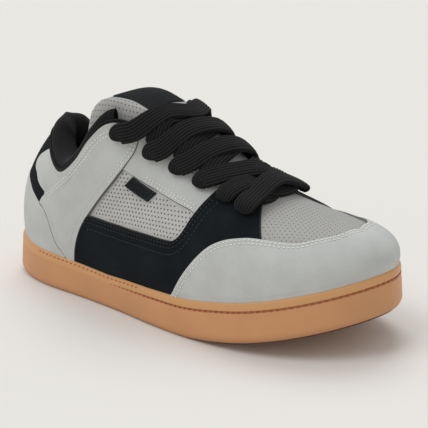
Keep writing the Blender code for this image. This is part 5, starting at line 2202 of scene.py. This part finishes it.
def place_camera() -> None:
    """Set the camera at the photograph's viewing angle."""
    azimuth, elevation, roll = (math.radians(v) for v in (CAMERA_AZIMUTH, CAMERA_ELEVATION, CAMERA_ROLL))
    flat = math.cos(elevation)
    back = Vector((math.sin(azimuth) * flat, -math.cos(azimuth) * flat, math.sin(elevation)))
    right = Vector((math.cos(azimuth), math.sin(azimuth), 0.0))
    up = back.cross(right)
    level_right = right * math.cos(roll) - up * math.sin(roll)
    level_up = right * math.sin(roll) + up * math.cos(roll)
    data = bpy.data.cameras.new("camera")
    data.sensor_width = SENSOR
    data.sensor_fit = "HORIZONTAL"
    data.lens = CAMERA_LENS
    data.shift_x = CAMERA_SHIFT
    camera = bpy.data.objects.new("camera", data)
    turn = Matrix((level_right, level_up, back)).transposed().to_4x4()
    camera.matrix_world = Matrix.Translation(Vector(CAMERA_TARGET) + back * CAMERA_DISTANCE) @ turn
    bpy.context.scene.collection.objects.link(camera)
    bpy.context.scene.camera = camera


def place_lamp(name: str, place: Sequence, strength: float) -> None:
    """Add a distant lamp with a soft edge, so the floor stays even.

    Args:
        name: the lamp's name.
        place: where it shines from, towards the middle of the floor.
        strength: its power for each square metre.
    """
    data = bpy.data.lights.new(name, "SUN")
    data.angle = math.radians(LAMP_ANGLE)
    data.energy = strength
    lamp = bpy.data.objects.new(name, data)
    lamp.location = place
    lamp.rotation_euler = (-Vector(place)).to_track_quat("-Z", "Y").to_euler()
    bpy.context.scene.collection.objects.link(lamp)


def place_studio() -> None:
    """Set the floor, the lamps and the pale surroundings."""
    mesh = bpy.data.meshes.new("floor")
    corners = ((-1, -1), (1, -1), (1, 1), (-1, 1))
    mesh.from_pydata([(x * FLOOR_REACH, y * FLOOR_REACH, 0) for x, y in corners], [], [(0, 1, 2, 3)])
    mesh.materials.append(Finish("floor_paper", FLOOR_COLOUR, 0.95).build())
    floor = bpy.data.objects.new("floor", mesh)
    bpy.context.scene.collection.objects.link(floor)
    world = bpy.data.worlds.new("studio")
    world.use_nodes = True
    background = world.node_tree.nodes["Background"]
    background.inputs["Color"].default_value = WORLD_COLOUR
    graph = Graph(world.node_tree)
    seen = graph.node("ShaderNodeLightPath", output="Is Camera Ray")
    graph.join(WORLD_LIGHT + seen * (WORLD_SEEN - WORLD_LIGHT), background.inputs["Strength"])
    bpy.context.scene.world = world
    for name, place, strength in LAMPS:
        place_lamp(name, place, strength)
    bpy.context.scene.view_settings.view_transform = "Standard"


def main() -> None:
    """Dress the frame and set the studio."""
    logging.basicConfig(level=logging.INFO, format="%(name)s %(message)s")
    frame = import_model()
    Shoe(frame).build()
    place_studio()
    place_camera()


if __name__ == "__main__":
    main()
